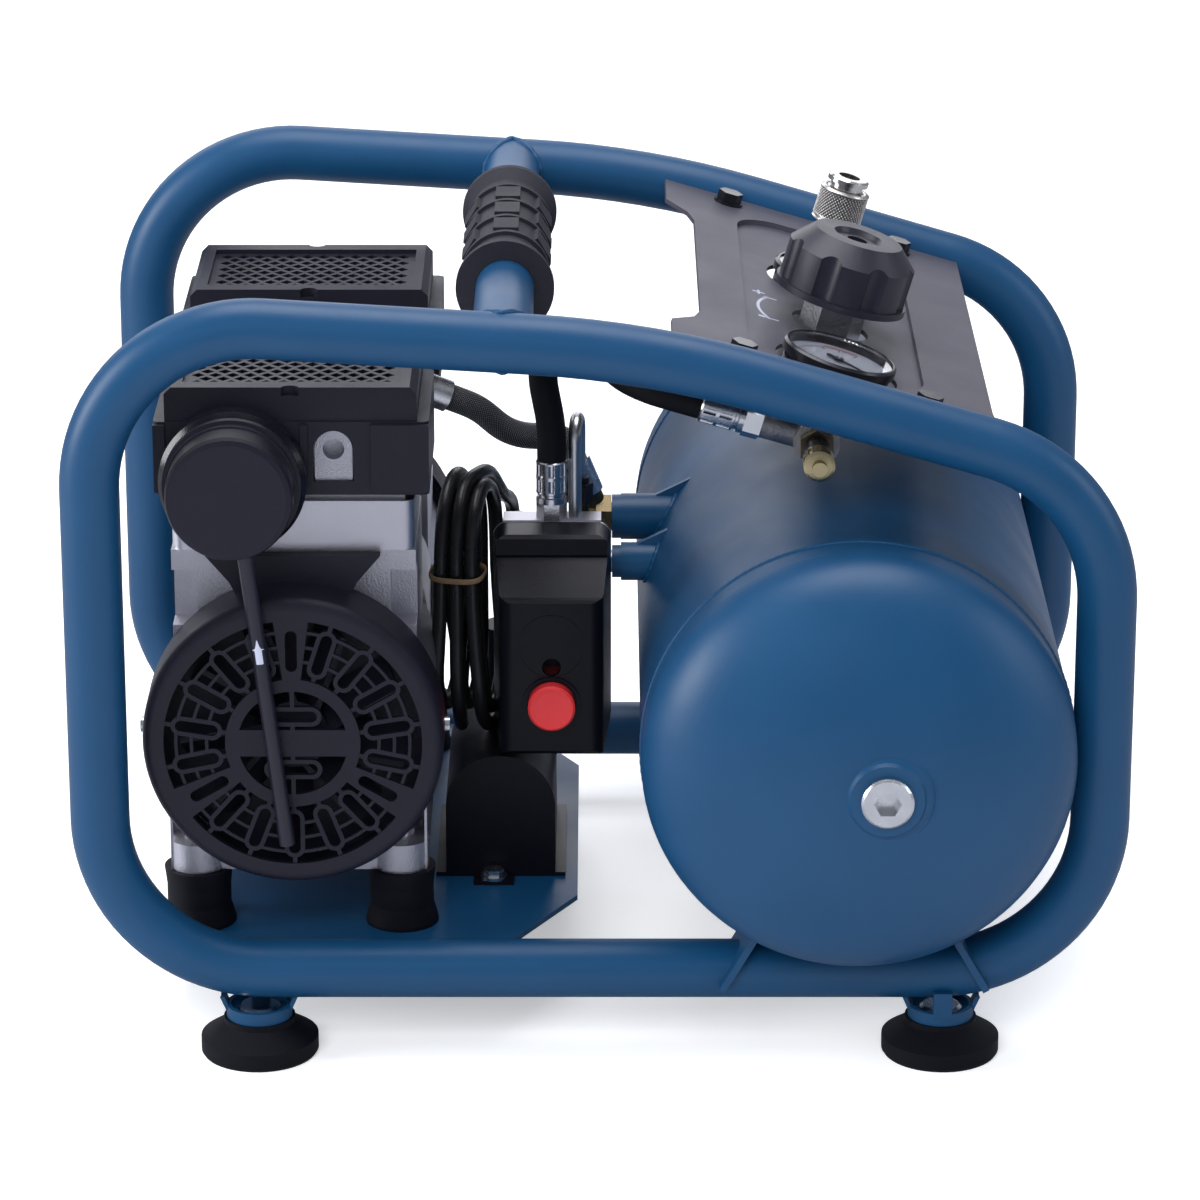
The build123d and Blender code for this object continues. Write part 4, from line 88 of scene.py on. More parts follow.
def tone_group():
    """Colour times a factor that follows slow noise, from one less the amount to one plus it."""
    tree, ends, out = group_of("slow_tone", (("Color", None), ("Amount", 0.1), ("Scale", 30)),
                               (("Color", "NodeSocketColor"), ("Fac", "NodeSocketFloat")))
    place = tree.nodes.new("ShaderNodeTexCoord")
    noise = tree.nodes.new("ShaderNodeTexNoise")
    noise.inputs["Detail"].default_value = TONE_DETAIL
    spread = tree.nodes.new("ShaderNodeMapRange")
    spread.inputs["From Min"].default_value = NOISE_LOW
    spread.inputs["From Max"].default_value = NOISE_HIGH
    limits = []
    for operation in ("SUBTRACT", "ADD"):
        limit = tree.nodes.new("ShaderNodeMath")
        limit.operation = operation
        limit.inputs[0].default_value = 1.0
        limits.append(limit)
    low, high = limits
    shade = tree.nodes.new("ShaderNodeVectorMath")
    shade.operation = "SCALE"
    wire(tree, (place.outputs["Object"], noise.inputs["Vector"]),
         (ends.outputs["Scale"], noise.inputs["Scale"]),
         (noise.outputs["Fac"], spread.inputs["Value"]),
         (ends.outputs["Amount"], low.inputs[1]),
         (ends.outputs["Amount"], high.inputs[1]),
         (low.outputs[0], spread.inputs["To Min"]),
         (high.outputs[0], spread.inputs["To Max"]),
         (ends.outputs["Color"], shade.inputs[0]),
         (spread.outputs["Result"], shade.inputs["Scale"]),
         (shade.outputs["Vector"], out.inputs["Color"]),
         (noise.outputs["Fac"], out.inputs["Fac"]))
    return tree


RELIEF = relief_group()
TONE = tone_group()


def finish_of(name, color, rough, metal=0.0, grain=900, relief=0.1, tone=0.06, tone_scale=25, detail=3,
              shine=0.35):
    """Material with slow tone, roughness that follows the same noise within ROUGH_SPREAD, and relief."""
    material = bpy.data.materials.new(name)
    material.use_nodes = True
    tree = material.node_tree
    shader = tree.nodes["Principled BSDF"]
    shader.inputs["Metallic"].default_value = metal
    shader.inputs["Specular IOR Level"].default_value = shine
    tint = tree.nodes.new("ShaderNodeGroup")
    tint.node_tree = TONE
    tint.inputs["Color"].default_value = (*color, 1)
    tint.inputs["Amount"].default_value = tone
    tint.inputs["Scale"].default_value = tone_scale
    gloss = tree.nodes.new("ShaderNodeMapRange")
    gloss.inputs["From Min"].default_value = NOISE_LOW
    gloss.inputs["From Max"].default_value = NOISE_HIGH
    gloss.inputs["To Min"].default_value = rough - ROUGH_SPREAD
    gloss.inputs["To Max"].default_value = rough + ROUGH_SPREAD
    lumps = tree.nodes.new("ShaderNodeGroup")
    lumps.node_tree = RELIEF
    lumps.inputs["Scale"].default_value = grain
    lumps.inputs["Strength"].default_value = relief
    lumps.inputs["Detail"].default_value = detail
    wire(tree, (tint.outputs["Color"], shader.inputs["Base Color"]),
         (tint.outputs["Fac"], gloss.inputs["Value"]),
         (gloss.outputs["Result"], shader.inputs["Roughness"]),
         (lumps.outputs["Normal"], shader.inputs["Normal"]))
    return material


def dress(material, *names):
    """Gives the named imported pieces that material."""
    for name in names:
        for holder in nodes[name].material_slots:
            holder.material = material


BLUE = finish_of("powder_coat_blue", (0.004, 0.049, 0.126), 0.42, grain=1500, relief=0.10, tone=0.05,
                 shine=0.38)
dress(BLUE, "roll_bar_front", "roll_bar_rear", "handle_tube", "welded_brackets", "base_plate")


def close_up(mesh):
    """Joins points that share a place, so seams and poles are closed, and turns faces outwards."""
    shell = bmesh.new()
    shell.from_mesh(mesh)
    bmesh.ops.remove_doubles(shell, verts=shell.verts, dist=JOIN_WITHIN)
    bmesh.ops.dissolve_degenerate(shell, edges=shell.edges, dist=FLAT_WITHIN)
    bmesh.ops.recalc_face_normals(shell, faces=shell.faces)
    shell.to_mesh(mesh)
    shell.free()


def mesh_piece(name, points, faces, material, body="frame", smooth=True, closed=True):
    """Object from points in metres and faces; it rides on a body."""
    mesh = bpy.data.meshes.new(name)
    mesh.from_pydata(points, [], faces)
    mesh.update()
    if closed:
        close_up(mesh)
    mesh.polygons.foreach_set("use_smooth", np.full(len(mesh.polygons), smooth))
    piece = bpy.data.objects.new(name, mesh)
    bpy.context.scene.collection.objects.link(piece)
    mesh.materials.append(material)
    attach(piece, body)
    return piece


def grid_faces(rows, columns, closed_rows, closed_columns):
    """Quads between neighbours of a grid of points; a closed side wraps round to its start."""
    r = np.arange(rows if closed_rows else rows - 1)[:, None]
    c = np.arange(columns if closed_columns else columns - 1)[None, :]
    r2, c2 = (r + 1) % rows, (c + 1) % columns
    quads = np.stack([r * columns + c, r2 * columns + c, r2 * columns + c2, r * columns + c2], axis=-1)
    return quads.reshape(-1, 4).tolist()


def full_turn(count):
    """That many equal angles round a circle, in radians."""
    return np.linspace(0, 2 * math.pi, count, endpoint=False)


SADDLE_SIDES, SADDLE_RIPPLES, SADDLE_SWELL = 10, 16, 0.1


def saddle_bead(name, line, thick):
    """Weld along a closed line: round each point a ring of radius thick, square to the line there. A
    sine with SADDLE_RIPPLES waves swells it by SADDLE_SWELL of its radius."""
    line = np.array(line, float)
    tangent = np.roll(line, -1, axis=0) - np.roll(line, 1, axis=0)
    tangent /= np.linalg.norm(tangent, axis=1)[:, None]
    outward = line - line.mean(axis=0)
    outward -= (outward * tangent).sum(1)[:, None] * tangent
    outward /= np.linalg.norm(outward, axis=1)[:, None]
    other = np.cross(tangent, outward)
    side = full_turn(SADDLE_SIDES)
    swell = thick * (1 + SADDLE_SWELL * np.sin(SADDLE_RIPPLES * full_turn(len(line))))
    ring = np.cos(side)[None, :, None] * outward[:, None] + np.sin(side)[None, :, None] * other[:, None]
    points = (line[:, None] + swell[:, None, None] * ring) * MM
    return mesh_piece(name, points.reshape(-1, 3), grid_faces(len(line), SADDLE_SIDES, True, True), BLUE)


# The roll bar's skin lies a tube radius times |cos| from its axis where the cross tube meets it.
TUBE_RADIUS = 12.7
HANDLE_X, HANDLE_Z = -41.0, 320.55
ROLL_BAR_Y = 149.0
WELD_OVERLAP = 0.3
HANDLE_WELD_THICK = 1.5
SADDLE_POINTS = 160
saddle_turn = full_turn(SADDLE_POINTS)
for end in (-1, 1):
    reach = ROLL_BAR_Y - TUBE_RADIUS * np.abs(np.cos(saddle_turn)) - WELD_OVERLAP
    joint = np.stack([HANDLE_X + TUBE_RADIUS * np.cos(saddle_turn), end * reach,
                      HANDLE_Z + TUBE_RADIUS * np.sin(saddle_turn)], axis=1)
    saddle_bead("handle_weld", joint, HANDLE_WELD_THICK)

# ---------------------------------------------------------------- handle grip
# Soft foam rubber sleeve with moulded finger pads, pushed over the middle of the cross tube. The
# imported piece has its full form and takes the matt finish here.
GRIP = finish_of("grip_foam", (0.016, 0.016, 0.023), 0.66, grain=1800, relief=0.4, tone=0.12, shine=0.3)
dress(GRIP, "handle_grip")

# ---------------------------------------------------------------- feet, motor mounts and screws
# Four moulded rubber discs under cups on the roll bars, and four rubber mounts between motor and base
# plate. Zinc-plated steel screws hold both, and the covers and brackets elsewhere.
RUBBER = finish_of("black_rubber", (0.0035, 0.0035, 0.006), 0.6, grain=1800, relief=0.25, tone=0.12,
                   shine=0.2)
ZINC = finish_of("zinc_plate", (0.72, 0.73, 0.75), 0.24, 1.0, grain=900, relief=0.12, tone=0.1,
                 tone_scale=120)
dress(RUBBER, "rubber_feet", "rubber_mounts")
dress(ZINC, "zinc_screws")

# ---------------------------------------------------------------- air tank
# Shell rolled from steel sheet with two pressed, dished heads, a threaded bung in each head and two
# ports for the air lines. All joints are welded all round and coated blue; zinc plugs close the bungs.
TANK_AXIS = (109.5, 144.7)
TANK_RADIUS = 92.0
HEAD_SEAM_Y, HEAD_SEAM_THICK, HEAD_SEAM_POINTS, HEAD_SEAM_RIPPLES = 160.0, 0.9, 480, 150
BUNG_ASIDE, BUNG_Y, BUNG_WELD_RADIUS = 9.5, 219.2, 20.5
BUNG_SEAM_THICK, BUNG_SEAM_POINTS, BUNG_SEAM_RIPPLES = 0.7, 180, 40
SEAM_SIDES, SEAM_SWELL = 8, 0.12
PORT_WELDS = ((-6.0, 176.5, 8.6), (24.0, 188.0, 10.5))
PORT_WELD_LIFT = 0.2
PORT_WELD_THICK = 1.3
dress(BLUE, "tank_shell", "tank_heads")
dress(ZINC, "tank_plugs")


def axes_of(direction):
    """Two unit vectors square to a direction, by cross products with an axis off it, and its unit."""
    d = np.array(direction, float)
    d /= np.linalg.norm(d)
    side = np.array([0, 0, 1.0]) if abs(d[2]) < 0.9 else np.array([1.0, 0, 0])
    u = np.cross(side, d)
    u /= np.linalg.norm(u)
    return u, np.cross(d, u), d


def bead(name, centre, direction, radius, thick, count, waves):
    """Ring of weld: a circle of radius thick carried round. A sine of that many waves swells it by
    SEAM_SWELL of its radius, as the overlapping ripples of a machine weld."""
    u, v, d = axes_of(direction)
    turn, side = full_turn(count), full_turn(SEAM_SIDES)
    swell = (thick * (1 + SEAM_SWELL * np.sin(waves * turn)))[:, None, None]
    out = (np.cos(turn)[:, None] * u + np.sin(turn)[:, None] * v)[:, None]
    ring = np.cos(side)[None, :, None] * out + np.sin(side)[None, :, None] * d
    points = (np.array(centre, float) + radius * out + swell * ring) * MM
    return mesh_piece(name, points.reshape(-1, 3), grid_faces(count, SEAM_SIDES, True, True), BLUE)


# A port's weld lies where its circle meets the tank: the tank's radius by Pythagoras at each height.
for port_y, port_z, port_radius in PORT_WELDS:
    high = port_z + port_radius * np.sin(saddle_turn)
    reach = TANK_AXIS[0] - np.sqrt((TANK_RADIUS + PORT_WELD_LIFT) ** 2 - (high - TANK_AXIS[1]) ** 2)
    joint = np.stack([reach, port_y + port_radius * np.cos(saddle_turn), high], axis=1)
    saddle_bead("port_weld", joint, PORT_WELD_THICK)
for end in (-1, 1):
    bead("head_seam", (TANK_AXIS[0], end * HEAD_SEAM_Y, TANK_AXIS[1]), (0, 1, 0), TANK_RADIUS,
         HEAD_SEAM_THICK, HEAD_SEAM_POINTS, HEAD_SEAM_RIPPLES)
    bead("bung_seam", (TANK_AXIS[0] + BUNG_ASIDE, end * BUNG_Y, TANK_AXIS[1]), (0, 1, 0), BUNG_WELD_RADIUS,
         BUNG_SEAM_THICK, BUNG_SEAM_POINTS, BUNG_SEAM_RIPPLES)

# ---------------------------------------------------------------- drain cock
# Turned brass cock screwed into the tank's lowest point, with a knurled brass knob that a hand turns
# to let the water out.
BRASS = finish_of("turned_brass", (0.58, 0.42, 0.19), 0.3, 1.0, grain=1500, relief=0.14, tone=0.12,
                  tone_scale=140)
dress(BRASS, "drain_cock", "drain_knob")

# ---------------------------------------------------------------- motor and twin pump
# Blasted aluminium crankcases, valve plates and finned heads, with smoother cylinders between them,
# bolted to a laminated steel stator with enamelled copper windings. A drawn alloy pipe joins the heads.
CASTING = finish_of("blasted_casting", (0.60, 0.595, 0.645), 0.42, 1.0, grain=1300, relief=0.55, tone=0.07,
                    detail=6)
SMOOTH_CASTING = finish_of("machined_casting", (0.66, 0.65, 0.70), 0.38, 1.0, grain=2200, relief=0.2,
                           tone=0.05)
STEEL = finish_of("bare_steel", (0.42, 0.42, 0.43), 0.36, 1.0, grain=1600, relief=0.2)
COPPER = finish_of("enamelled_copper", (0.45, 0.13, 0.03), 0.35, 0.7, grain=900, relief=0.5)
ALLOY_TUBE = finish_of("drawn_alloy", (0.62, 0.63, 0.64), 0.28, 1.0, grain=1500, relief=0.08)
dress(CASTING, "crankcases", "cylinder_heads", "valve_plates")
dress(SMOOTH_CASTING, "cylinders", "piston_front", "piston_rear")
dress(STEEL, "stator_core", "motor_shaft", "rotor_core", "main_bearings", "eccentrics")
dress(COPPER, "motor_windings")
dress(ALLOY_TUBE, "cross_pipe")

# ---------------------------------------------------------------- fans and fan covers
# Moulded black fans on the ends of the shaft, each under a moulded grille held by four screws. Behind
# each fan a thin black disc fills the see-through gap between the cover and the crankcase as painted shade.
MOTOR_X, MOTOR_Z = -131.5, 141.0
SHADE_DISC_Y = 115.2
SHADE_DISC_INNER, SHADE_DISC_OUTER, SHADE_DISC_THICK = 16.5, 62.1, 0.8
LATHE_SIDES = 96
BLACK = finish_of("moulded_black", (0.0085, 0.0085, 0.0155), 0.42, grain=2600, relief=0.3, tone=0.1,
                  shine=0.3)
dress(BLACK, "fan_covers", "fans")


def lathe(name, profile, start, direction, material, count=LATHE_SIDES, smooth=True):
    """Turned piece: each (radius, height) point in mm is carried round a direction from a start."""
    u, v, d = axes_of(direction)
    profile = np.array(profile, float)
    turn = full_turn(count)
    ring = np.cos(turn)[:, None] * u + np.sin(turn)[:, None] * v
    points = profile[:, 0, None, None] * ring[None] + profile[:, 1, None, None] * d
    points = (points + np.array(start, float)) * MM
    return mesh_piece(name, points.reshape(-1, 3), grid_faces(len(profile), count, False, True), material,
                      smooth=smooth)


shade_disc_profile = [(SHADE_DISC_INNER, 0), (SHADE_DISC_OUTER, 0), (SHADE_DISC_OUTER, SHADE_DISC_THICK), (SHADE_DISC_INNER, SHADE_DISC_THICK),
          (SHADE_DISC_INNER, 0)]
# Each disc is a dark sheet of painted shade, standing in for the shadow inside the fan cover.
for end in (-1, 1):
    lathe("painted_shade_disc", shade_disc_profile, (MOTOR_X, end * SHADE_DISC_Y, MOTOR_Z), (0, end, 0), BLACK,
          smooth=False)

# ---------------------------------------------------------------- head hoods and air filter
# Moulded hoods with a diamond mesh in their tops, clipped over the two heads. The front hood carries
# the filter: a glossy moulded seat and a round cap that snaps on over the felt.
GLOSS = finish_of("moulded_black_gloss", (0.005, 0.005, 0.008), 0.2, grain=2000, relief=0.05, tone=0.1,
                  shine=0.5)
dress(BLACK, "head_hood_front", "head_hood_rear", "air_filter_cap")
dress(GLOSS, "air_filter_base")

# ---------------------------------------------------------------- intake tube
# Black moulded plastic tube that hangs from the air filter, pushed on at its top, and slopes past the
# fan cover. A white flow arrow is printed round its front, 0.08 mm thick.
TUBE_TOP = np.array([-150.0, -148.7, 228.0])
TUBE_FOOT = np.array([-134.4, -148.7, 96.0])
TUBE_DOWN = (TUBE_FOOT - TUBE_TOP) / np.linalg.norm(TUBE_FOOT - TUBE_TOP)
TUBE_SIDE = np.cross(TUBE_DOWN, np.array([0, 1.0, 0]))
PRINT_OUTER, PRINT_INNER = 3.47, 3.39
TUBE_SKIN = 3.5
ARROW_ROWS = ((38, 0.05), (42.8, 2.9), (42.8, 1.6), (49, 1.6))
ARROW_COLUMNS = 9
SATIN = finish_of("moulded_black_satin", (0.012, 0.012, 0.021), 0.36, grain=2600, relief=0.12, tone=0.1,
                  shine=0.45)
WHITE_INK = finish_of("white_ink", (0.46, 0.48, 0.62), 0.5, grain=1500, relief=0.1)
dress(SATIN, "intake_tube")


def wrapped_arrow():
    """Arrow outline as rows of (distance down the tube, half width). A width is bent round the tube by
    an angle of width over tube radius, once outside and once back inside, as a closed thin shell."""
    rows = np.array(ARROW_ROWS)
    across = np.linspace(-1, 1, ARROW_COLUMNS)
    across = np.concatenate([across, across[::-1]])
    radius = np.repeat([PRINT_OUTER, PRINT_INNER], ARROW_COLUMNS)[None, :, None]
    bend = rows[:, 1:2] * across[None] / TUBE_SKIN
    line = TUBE_TOP + rows[:, :1] * TUBE_DOWN
    front = np.array([0, 1, 0])
    skin = line[:, None] + radius * (np.sin(bend)[..., None] * TUBE_SIDE - np.cos(bend)[..., None] * front)
    count = len(across)
    faces = grid_faces(len(rows), count, False, True)
    faces += [list(range(count)), [count * (len(rows) - 1) + i for i in range(count)]]
    return mesh_piece("flow_arrow", (skin * MM).reshape(-1, 3), faces, WHITE_INK, smooth=False)


wrapped_arrow()

# ---------------------------------------------------------------- pressure switch and button
# Die-cast aluminium base screwed on the tank's port, under a deep black moulded cover with a red push
# button. The cord's gland and the unloader's nut are moulded black too.
DEEP_BLACK = finish_of("moulded_deep_black", (0.003, 0.003, 0.0055), 0.36, grain=2600, relief=0.2, tone=0.1,
                       shine=0.22)
RED = finish_of("moulded_red", (0.62, 0.035, 0.04), 0.42, grain=2000, relief=0.2, tone=0.04)
dress(SMOOTH_CASTING, "pressure_switch_base")
dress(DEEP_BLACK, "pressure_switch_cover")
dress(RED, "switch_button")
dress(BLACK, "black_glands")

# ---------------------------------------------------------------- capacitor
# Run capacitor, a can wrapped in black film, in a black moulded cover that one screw holds down on
# the base plate.
BLACK_INK = finish_of("black_ink", (0.02, 0.02, 0.022), 0.5, grain=1500, relief=0.1)
dress(DEEP_BLACK, "capacitor_cover")
dress(BLACK_INK, "capacitor")

# ---------------------------------------------------------------- control panel
# Sheet steel panel with a pressed recess, coated dark, held to the roll bars by four black screws. The
# turning arc with its arrowheads, plus and minus are printed white round the regulator's hole.
# Places on it are s down the slope, y across the machine and h off the plane of the tubes.
PANEL_DOWN = np.array([0.9592, 0, -0.2828])
PANEL_OUT = np.array([0.2828, 0, 0.9592])
PANEL_ORIGIN = np.array([91.9, 0, 295.96])
PANEL_ACROSS = np.array([0, 1.0, 0])
CONTROLS_S = 9.3
PRINT_H = 0.55
INK_THICKNESS = 0.08
KNOB_PLACE = np.array([CONTROLS_S, -30.0])
ARC_INNER, ARC_OUTER, ARC_START, ARC_END = 32.3, 33.7, 148, 212
PLUS = [(-25.6, -8, -20.0, -8, 1.2), (-22.8, -11.0, -22.8, -5.0, 1.2)]
MINUS = [(-23.9, -46.2, -20.9, -46.2, 2.0)]
PLUS_HEAD = [(-20.2, -13.2, -14.6, -13.4, 1.0), (-20.2, -13.2, -20.6, -17.8, 1.0)]
MINUS_HEAD = [(-20.2, -46.8, -14.6, -46.6, 1.0), (-20.2, -46.8, -20.6, -42.2, 1.0)]
SHEET = finish_of("powder_coat_dark", (0.060, 0.058, 0.077), 0.46, grain=2200, relief=0.22, tone=0.04)
dress(SHEET, "control_panel")
dress(GLOSS, "panel_screws")


def on_panel(flat, h):
    """World points in metres of flat (s, y) points at height h, or each at its own height."""
    flat, h = np.array(flat, float), np.reshape(h, (-1, 1))
    return (PANEL_ORIGIN + flat[:, :1] * PANEL_DOWN + flat[:, 1:2] * PANEL_ACROSS + h * PANEL_OUT) * MM


def ring_strip(name, centre, inner, outer, start, end, h, material, steps=48):
    """Thin printed arc between two radii; angles in degrees from down the slope towards the rear."""
    turn = np.radians(np.linspace(start, end, steps))
    ring = np.stack([np.cos(turn), np.sin(turn)], axis=1)
    reach = np.array([inner, outer, outer, inner])
    flat = (centre + reach[None, :, None] * ring[:, None]).reshape(-1, 2)
    high = np.tile([h, h, h - INK_THICKNESS, h - INK_THICKNESS], steps)
    faces = grid_faces(steps, 4, False, True) + [[0, 1, 2, 3], [4 * steps - 4 + i for i in range(4)]]
    return mesh_piece(name, on_panel(flat, high), faces, material, smooth=False)


def printed_strips(name, strips, h, material):
    """Thin printed strips, each (s0, y0, s1, y1, width): a box of four corners at two heights."""
    s0, y0, s1, y1, width = np.array(strips, float).T
    length = np.hypot(s1 - s0, y1 - y0)
    side = np.stack([y0 - y1, s1 - s0], axis=1) / length[:, None] * width[:, None] / 2
    a, b = np.stack([s0, y0], axis=1), np.stack([s1, y1], axis=1)
    corners = np.stack([a - side, b - side, b + side, a + side] * 2, axis=1).reshape(-1, 2)
    high = np.tile([h] * 4 + [h - INK_THICKNESS] * 4, len(s0))
    box = np.array([(0, 1, 2, 3), (7, 6, 5, 4), (0, 4, 5, 1), (1, 5, 6, 2), (2, 6, 7, 3), (3, 7, 4, 0)])
    faces = (8 * np.arange(len(s0))[:, None, None] + box[None]).reshape(-1, 4)
    return mesh_piece(name, on_panel(corners, high), faces.tolist(), material, smooth=False)


ring_strip("turn_arc", KNOB_PLACE, ARC_INNER, ARC_OUTER, ARC_START, ARC_END, PRINT_H, WHITE_INK)
printed_strips("turn_marks", PLUS + MINUS + PLUS_HEAD + MINUS_HEAD, PRINT_H, WHITE_INK)

# ---------------------------------------------------------------- pressure regulator
# Rough zinc die-cast manifold that hangs under the panel by its ring nut, with a fluted satin plastic
# knob on its spindle above.
CAST_ZINC = finish_of("cast_zinc", (0.36, 0.355, 0.37), 0.5, 1.0, grain=700, relief=0.6, tone=0.15,
                      tone_scale=90, detail=6)
dress(CAST_ZINC, "regulator_manifold")
dress(SATIN, "regulator_knob")

# ---------------------------------------------------------------- pressure gauges
# Two 50 mm gauges in glossy black cases with clear lenses, screwed into the manifold. Their enamelled
# dials carry a printed scale of fifty divisions over 260 degrees, with a red band over the last 18%.
DIAL_H = 2.34
GAUGE_PLACES = {"tank": np.array([CONTROLS_S, -95.0]), "outlet": np.array([CONTROLS_S, 32.0])}
FIRST_ANGLE, SWEEP = -40.0, -260.0
DIVISIONS, LONG_EVERY = 50, 5
SCALE_STEPS, BAND_STEPS = 90, 20
SCALE_INNER, SCALE_OUTER = 18.0, 18.3
STROKE_END, LONG_START, SHORT_START = 18.2, 14.8, 16.6
LONG_WIDTH, SHORT_WIDTH = 0.55, 0.25
BAND_INNER, BAND_OUTER, BAND_START = 18.9, 19.9, 0.82
GLASS_TINT, GLASS_ROUGH, GLASS_IOR = (0.95, 0.96, 0.97, 1), 0.02, 1.5
DIAL = finish_of("dial_enamel", (0.62, 0.64, 0.72), 0.4, grain=1500, relief=0.05)
dress(GLOSS, "gauge_cases")
dress(DIAL, "gauge_dials")
dress(BLACK_INK, "tank_gauge_needle", "outlet_gauge_needle")


def dial_marks(name, centre):
    """A thin arc, and a stroke at each division from a long or short start out to one radius."""
    ring_strip(name + "_scale", centre, SCALE_INNER, SCALE_OUTER, FIRST_ANGLE, FIRST_ANGLE + SWEEP, DIAL_H,
               BLACK_INK, SCALE_STEPS)
    count = np.arange(DIVISIONS + 1)
    turn = np.radians(FIRST_ANGLE + SWEEP * count / DIVISIONS)
    ring = np.stack([np.cos(turn), np.sin(turn)], axis=1)
    is_long = count % LONG_EVERY == 0
    inner = np.where(is_long, LONG_START, SHORT_START)[:, None] * ring + centre
    outer = STROKE_END * ring + centre
    width = np.where(is_long, LONG_WIDTH, SHORT_WIDTH)
    printed_strips(name + "_strokes", np.column_stack([inner, outer, width]), DIAL_H, BLACK_INK)


for gauge, centre in GAUGE_PLACES.items():
    dial_marks(gauge, centre)
    ring_strip(gauge + "_red_band", centre, BAND_INNER, BAND_OUTER, FIRST_ANGLE + BAND_START * SWEEP,
               FIRST_ANGLE + SWEEP, DIAL_H, RED, BAND_STEPS)

GLASS = bpy.data.materials.new("gauge_glass")
GLASS.use_nodes = True
glass_shader = GLASS.node_tree.nodes["Principled BSDF"]
glass_shader.inputs["Base Color"].default_value = GLASS_TINT
glass_shader.inputs["Roughness"].default_value = GLASS_ROUGH
glass_shader.inputs["IOR"].default_value = GLASS_IOR
glass_shader.inputs["Transmission Weight"].default_value = 1.0
dress(GLASS, "gauge_lenses")

# ---------------------------------------------------------------- quick coupler
# Nickel-plated steel coupler screwed into the manifold through the panel. Its spring-loaded sleeve is
# turned and knurled by two opposite spirals, with a plain ring at each end, and pulls down 4 mm.
COUPLER_PLACE = np.array([CONTROLS_S, 68.0])
SLEEVE_FOOT = 22.4
SLEEVE_LENGTH = 16.0
SLEEVE_RADIUS = 11.4
SLEEVE_BORE = 8.55
SLEEVE_COLUMNS, SLEEVE_ROWS = 352, 112
KNURL_START, KNURL_END = 0.17, 0.93
KNURL_LOBES, KNURL_LEAN, KNURL_DEPTH = 22, 27, 0.75
# The grooves are mixed towards a dark colour by their depth: painted shade in the knurl's valleys.
LAND_COLOR, GROOVE_SHADE_COLOR = (0.74, 0.71, 0.68), (0.10, 0.095, 0.09)
WAIST_START, WAIST_END, WAIST_DEPTH = 0.05, 0.13, 0.9
TOP_EDGE, TOP_CUT, FOOT_EDGE, FOOT_CUT = 0.97, 1.0, 0.02, 0.6
NICKEL = finish_of("nickel_plate", (0.62, 0.60, 0.57), 0.22, 1.0, grain=1200, relief=0.06, tone=0.08,
                   tone_scale=90)
KNURLED = finish_of("knurled_nickel", (0.66, 0.64, 0.61), 0.26, 1.0, grain=1200, relief=0.06)
dress(NICKEL, "coupler_body")


def tone_and_shade_blend(material, factor, first, second):
    """Colour mixed from first to second by a factor of 0 to 1, in place of the material's own."""
    tree = material.node_tree
    shade = tree.nodes.new("ShaderNodeMix")
    shade.data_type = "RGBA"
    shade.inputs["A"].default_value = (*first, 1)
    shade.inputs["B"].default_value = (*second, 1)
    tint = next(node for node in tree.nodes if node.type == "GROUP" and node.node_tree == TONE)
    wire(tree, (factor, shade.inputs["Factor"]), (shade.outputs["Result"], tint.inputs["Color"]))


def knurled_sleeve():
    """The sleeve as a fine grid from bore to bore. A knurled row's radius drops by the depth times one
    less the product of two |sine| spirals, and that depth also darkens the grooves as painted shade."""
    turn = full_turn(SLEEVE_COLUMNS)
    high = np.linspace(0, 1, SLEEVE_ROWS)
    knurled = (high > KNURL_START) & (high < KNURL_END)
    lean = high[:, None] * KNURL_LEAN
    lobes = KNURL_LOBES * turn[None]
    groove = knurled[:, None] * (1 - np.abs(np.sin(lobes + lean)) * np.abs(np.sin(lobes - lean)))
    waist = WAIST_DEPTH * ((high > WAIST_START) & (high < WAIST_END))
    edge = TOP_CUT * (high > TOP_EDGE) + FOOT_CUT * (high < FOOT_EDGE)
    radius = SLEEVE_RADIUS - waist[:, None] - edge[:, None] - KNURL_DEPTH * groove
    radius = np.pad(radius, ((1, 1), (0, 0)), constant_values=SLEEVE_BORE)
    flat = np.stack([radius * np.cos(turn), radius * np.sin(turn)], axis=-1).reshape(-1, 2) + COUPLER_PLACE
    level = np.concatenate([[0.0], high, [1.0]]) * SLEEVE_LENGTH + SLEEVE_FOOT
    faces = grid_faces(SLEEVE_ROWS + 2, SLEEVE_COLUMNS, True, True)
    piece = mesh_piece("knurled_sleeve", on_panel(flat, np.repeat(level, SLEEVE_COLUMNS)), faces, KNURLED,
                       body="sleeve", closed=False)
    depth = piece.data.attributes.new("groove", "FLOAT", "POINT")
    depth.data.foreach_set("value", np.pad(groove, ((1, 1), (0, 0))).ravel())
    close_up(piece.data)
    return piece


# Painted shade: the groove depth darkens the nickel in the knurl's valleys.
groove_depth = KNURLED.node_tree.nodes.new("ShaderNodeAttribute")
groove_depth.attribute_name = "groove"
tone_and_shade_blend(KNURLED, groove_depth.outputs["Fac"], LAND_COLOR, GROOVE_SHADE_COLOR)
sleeve = knurled_sleeve()
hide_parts("coupler_sleeve")

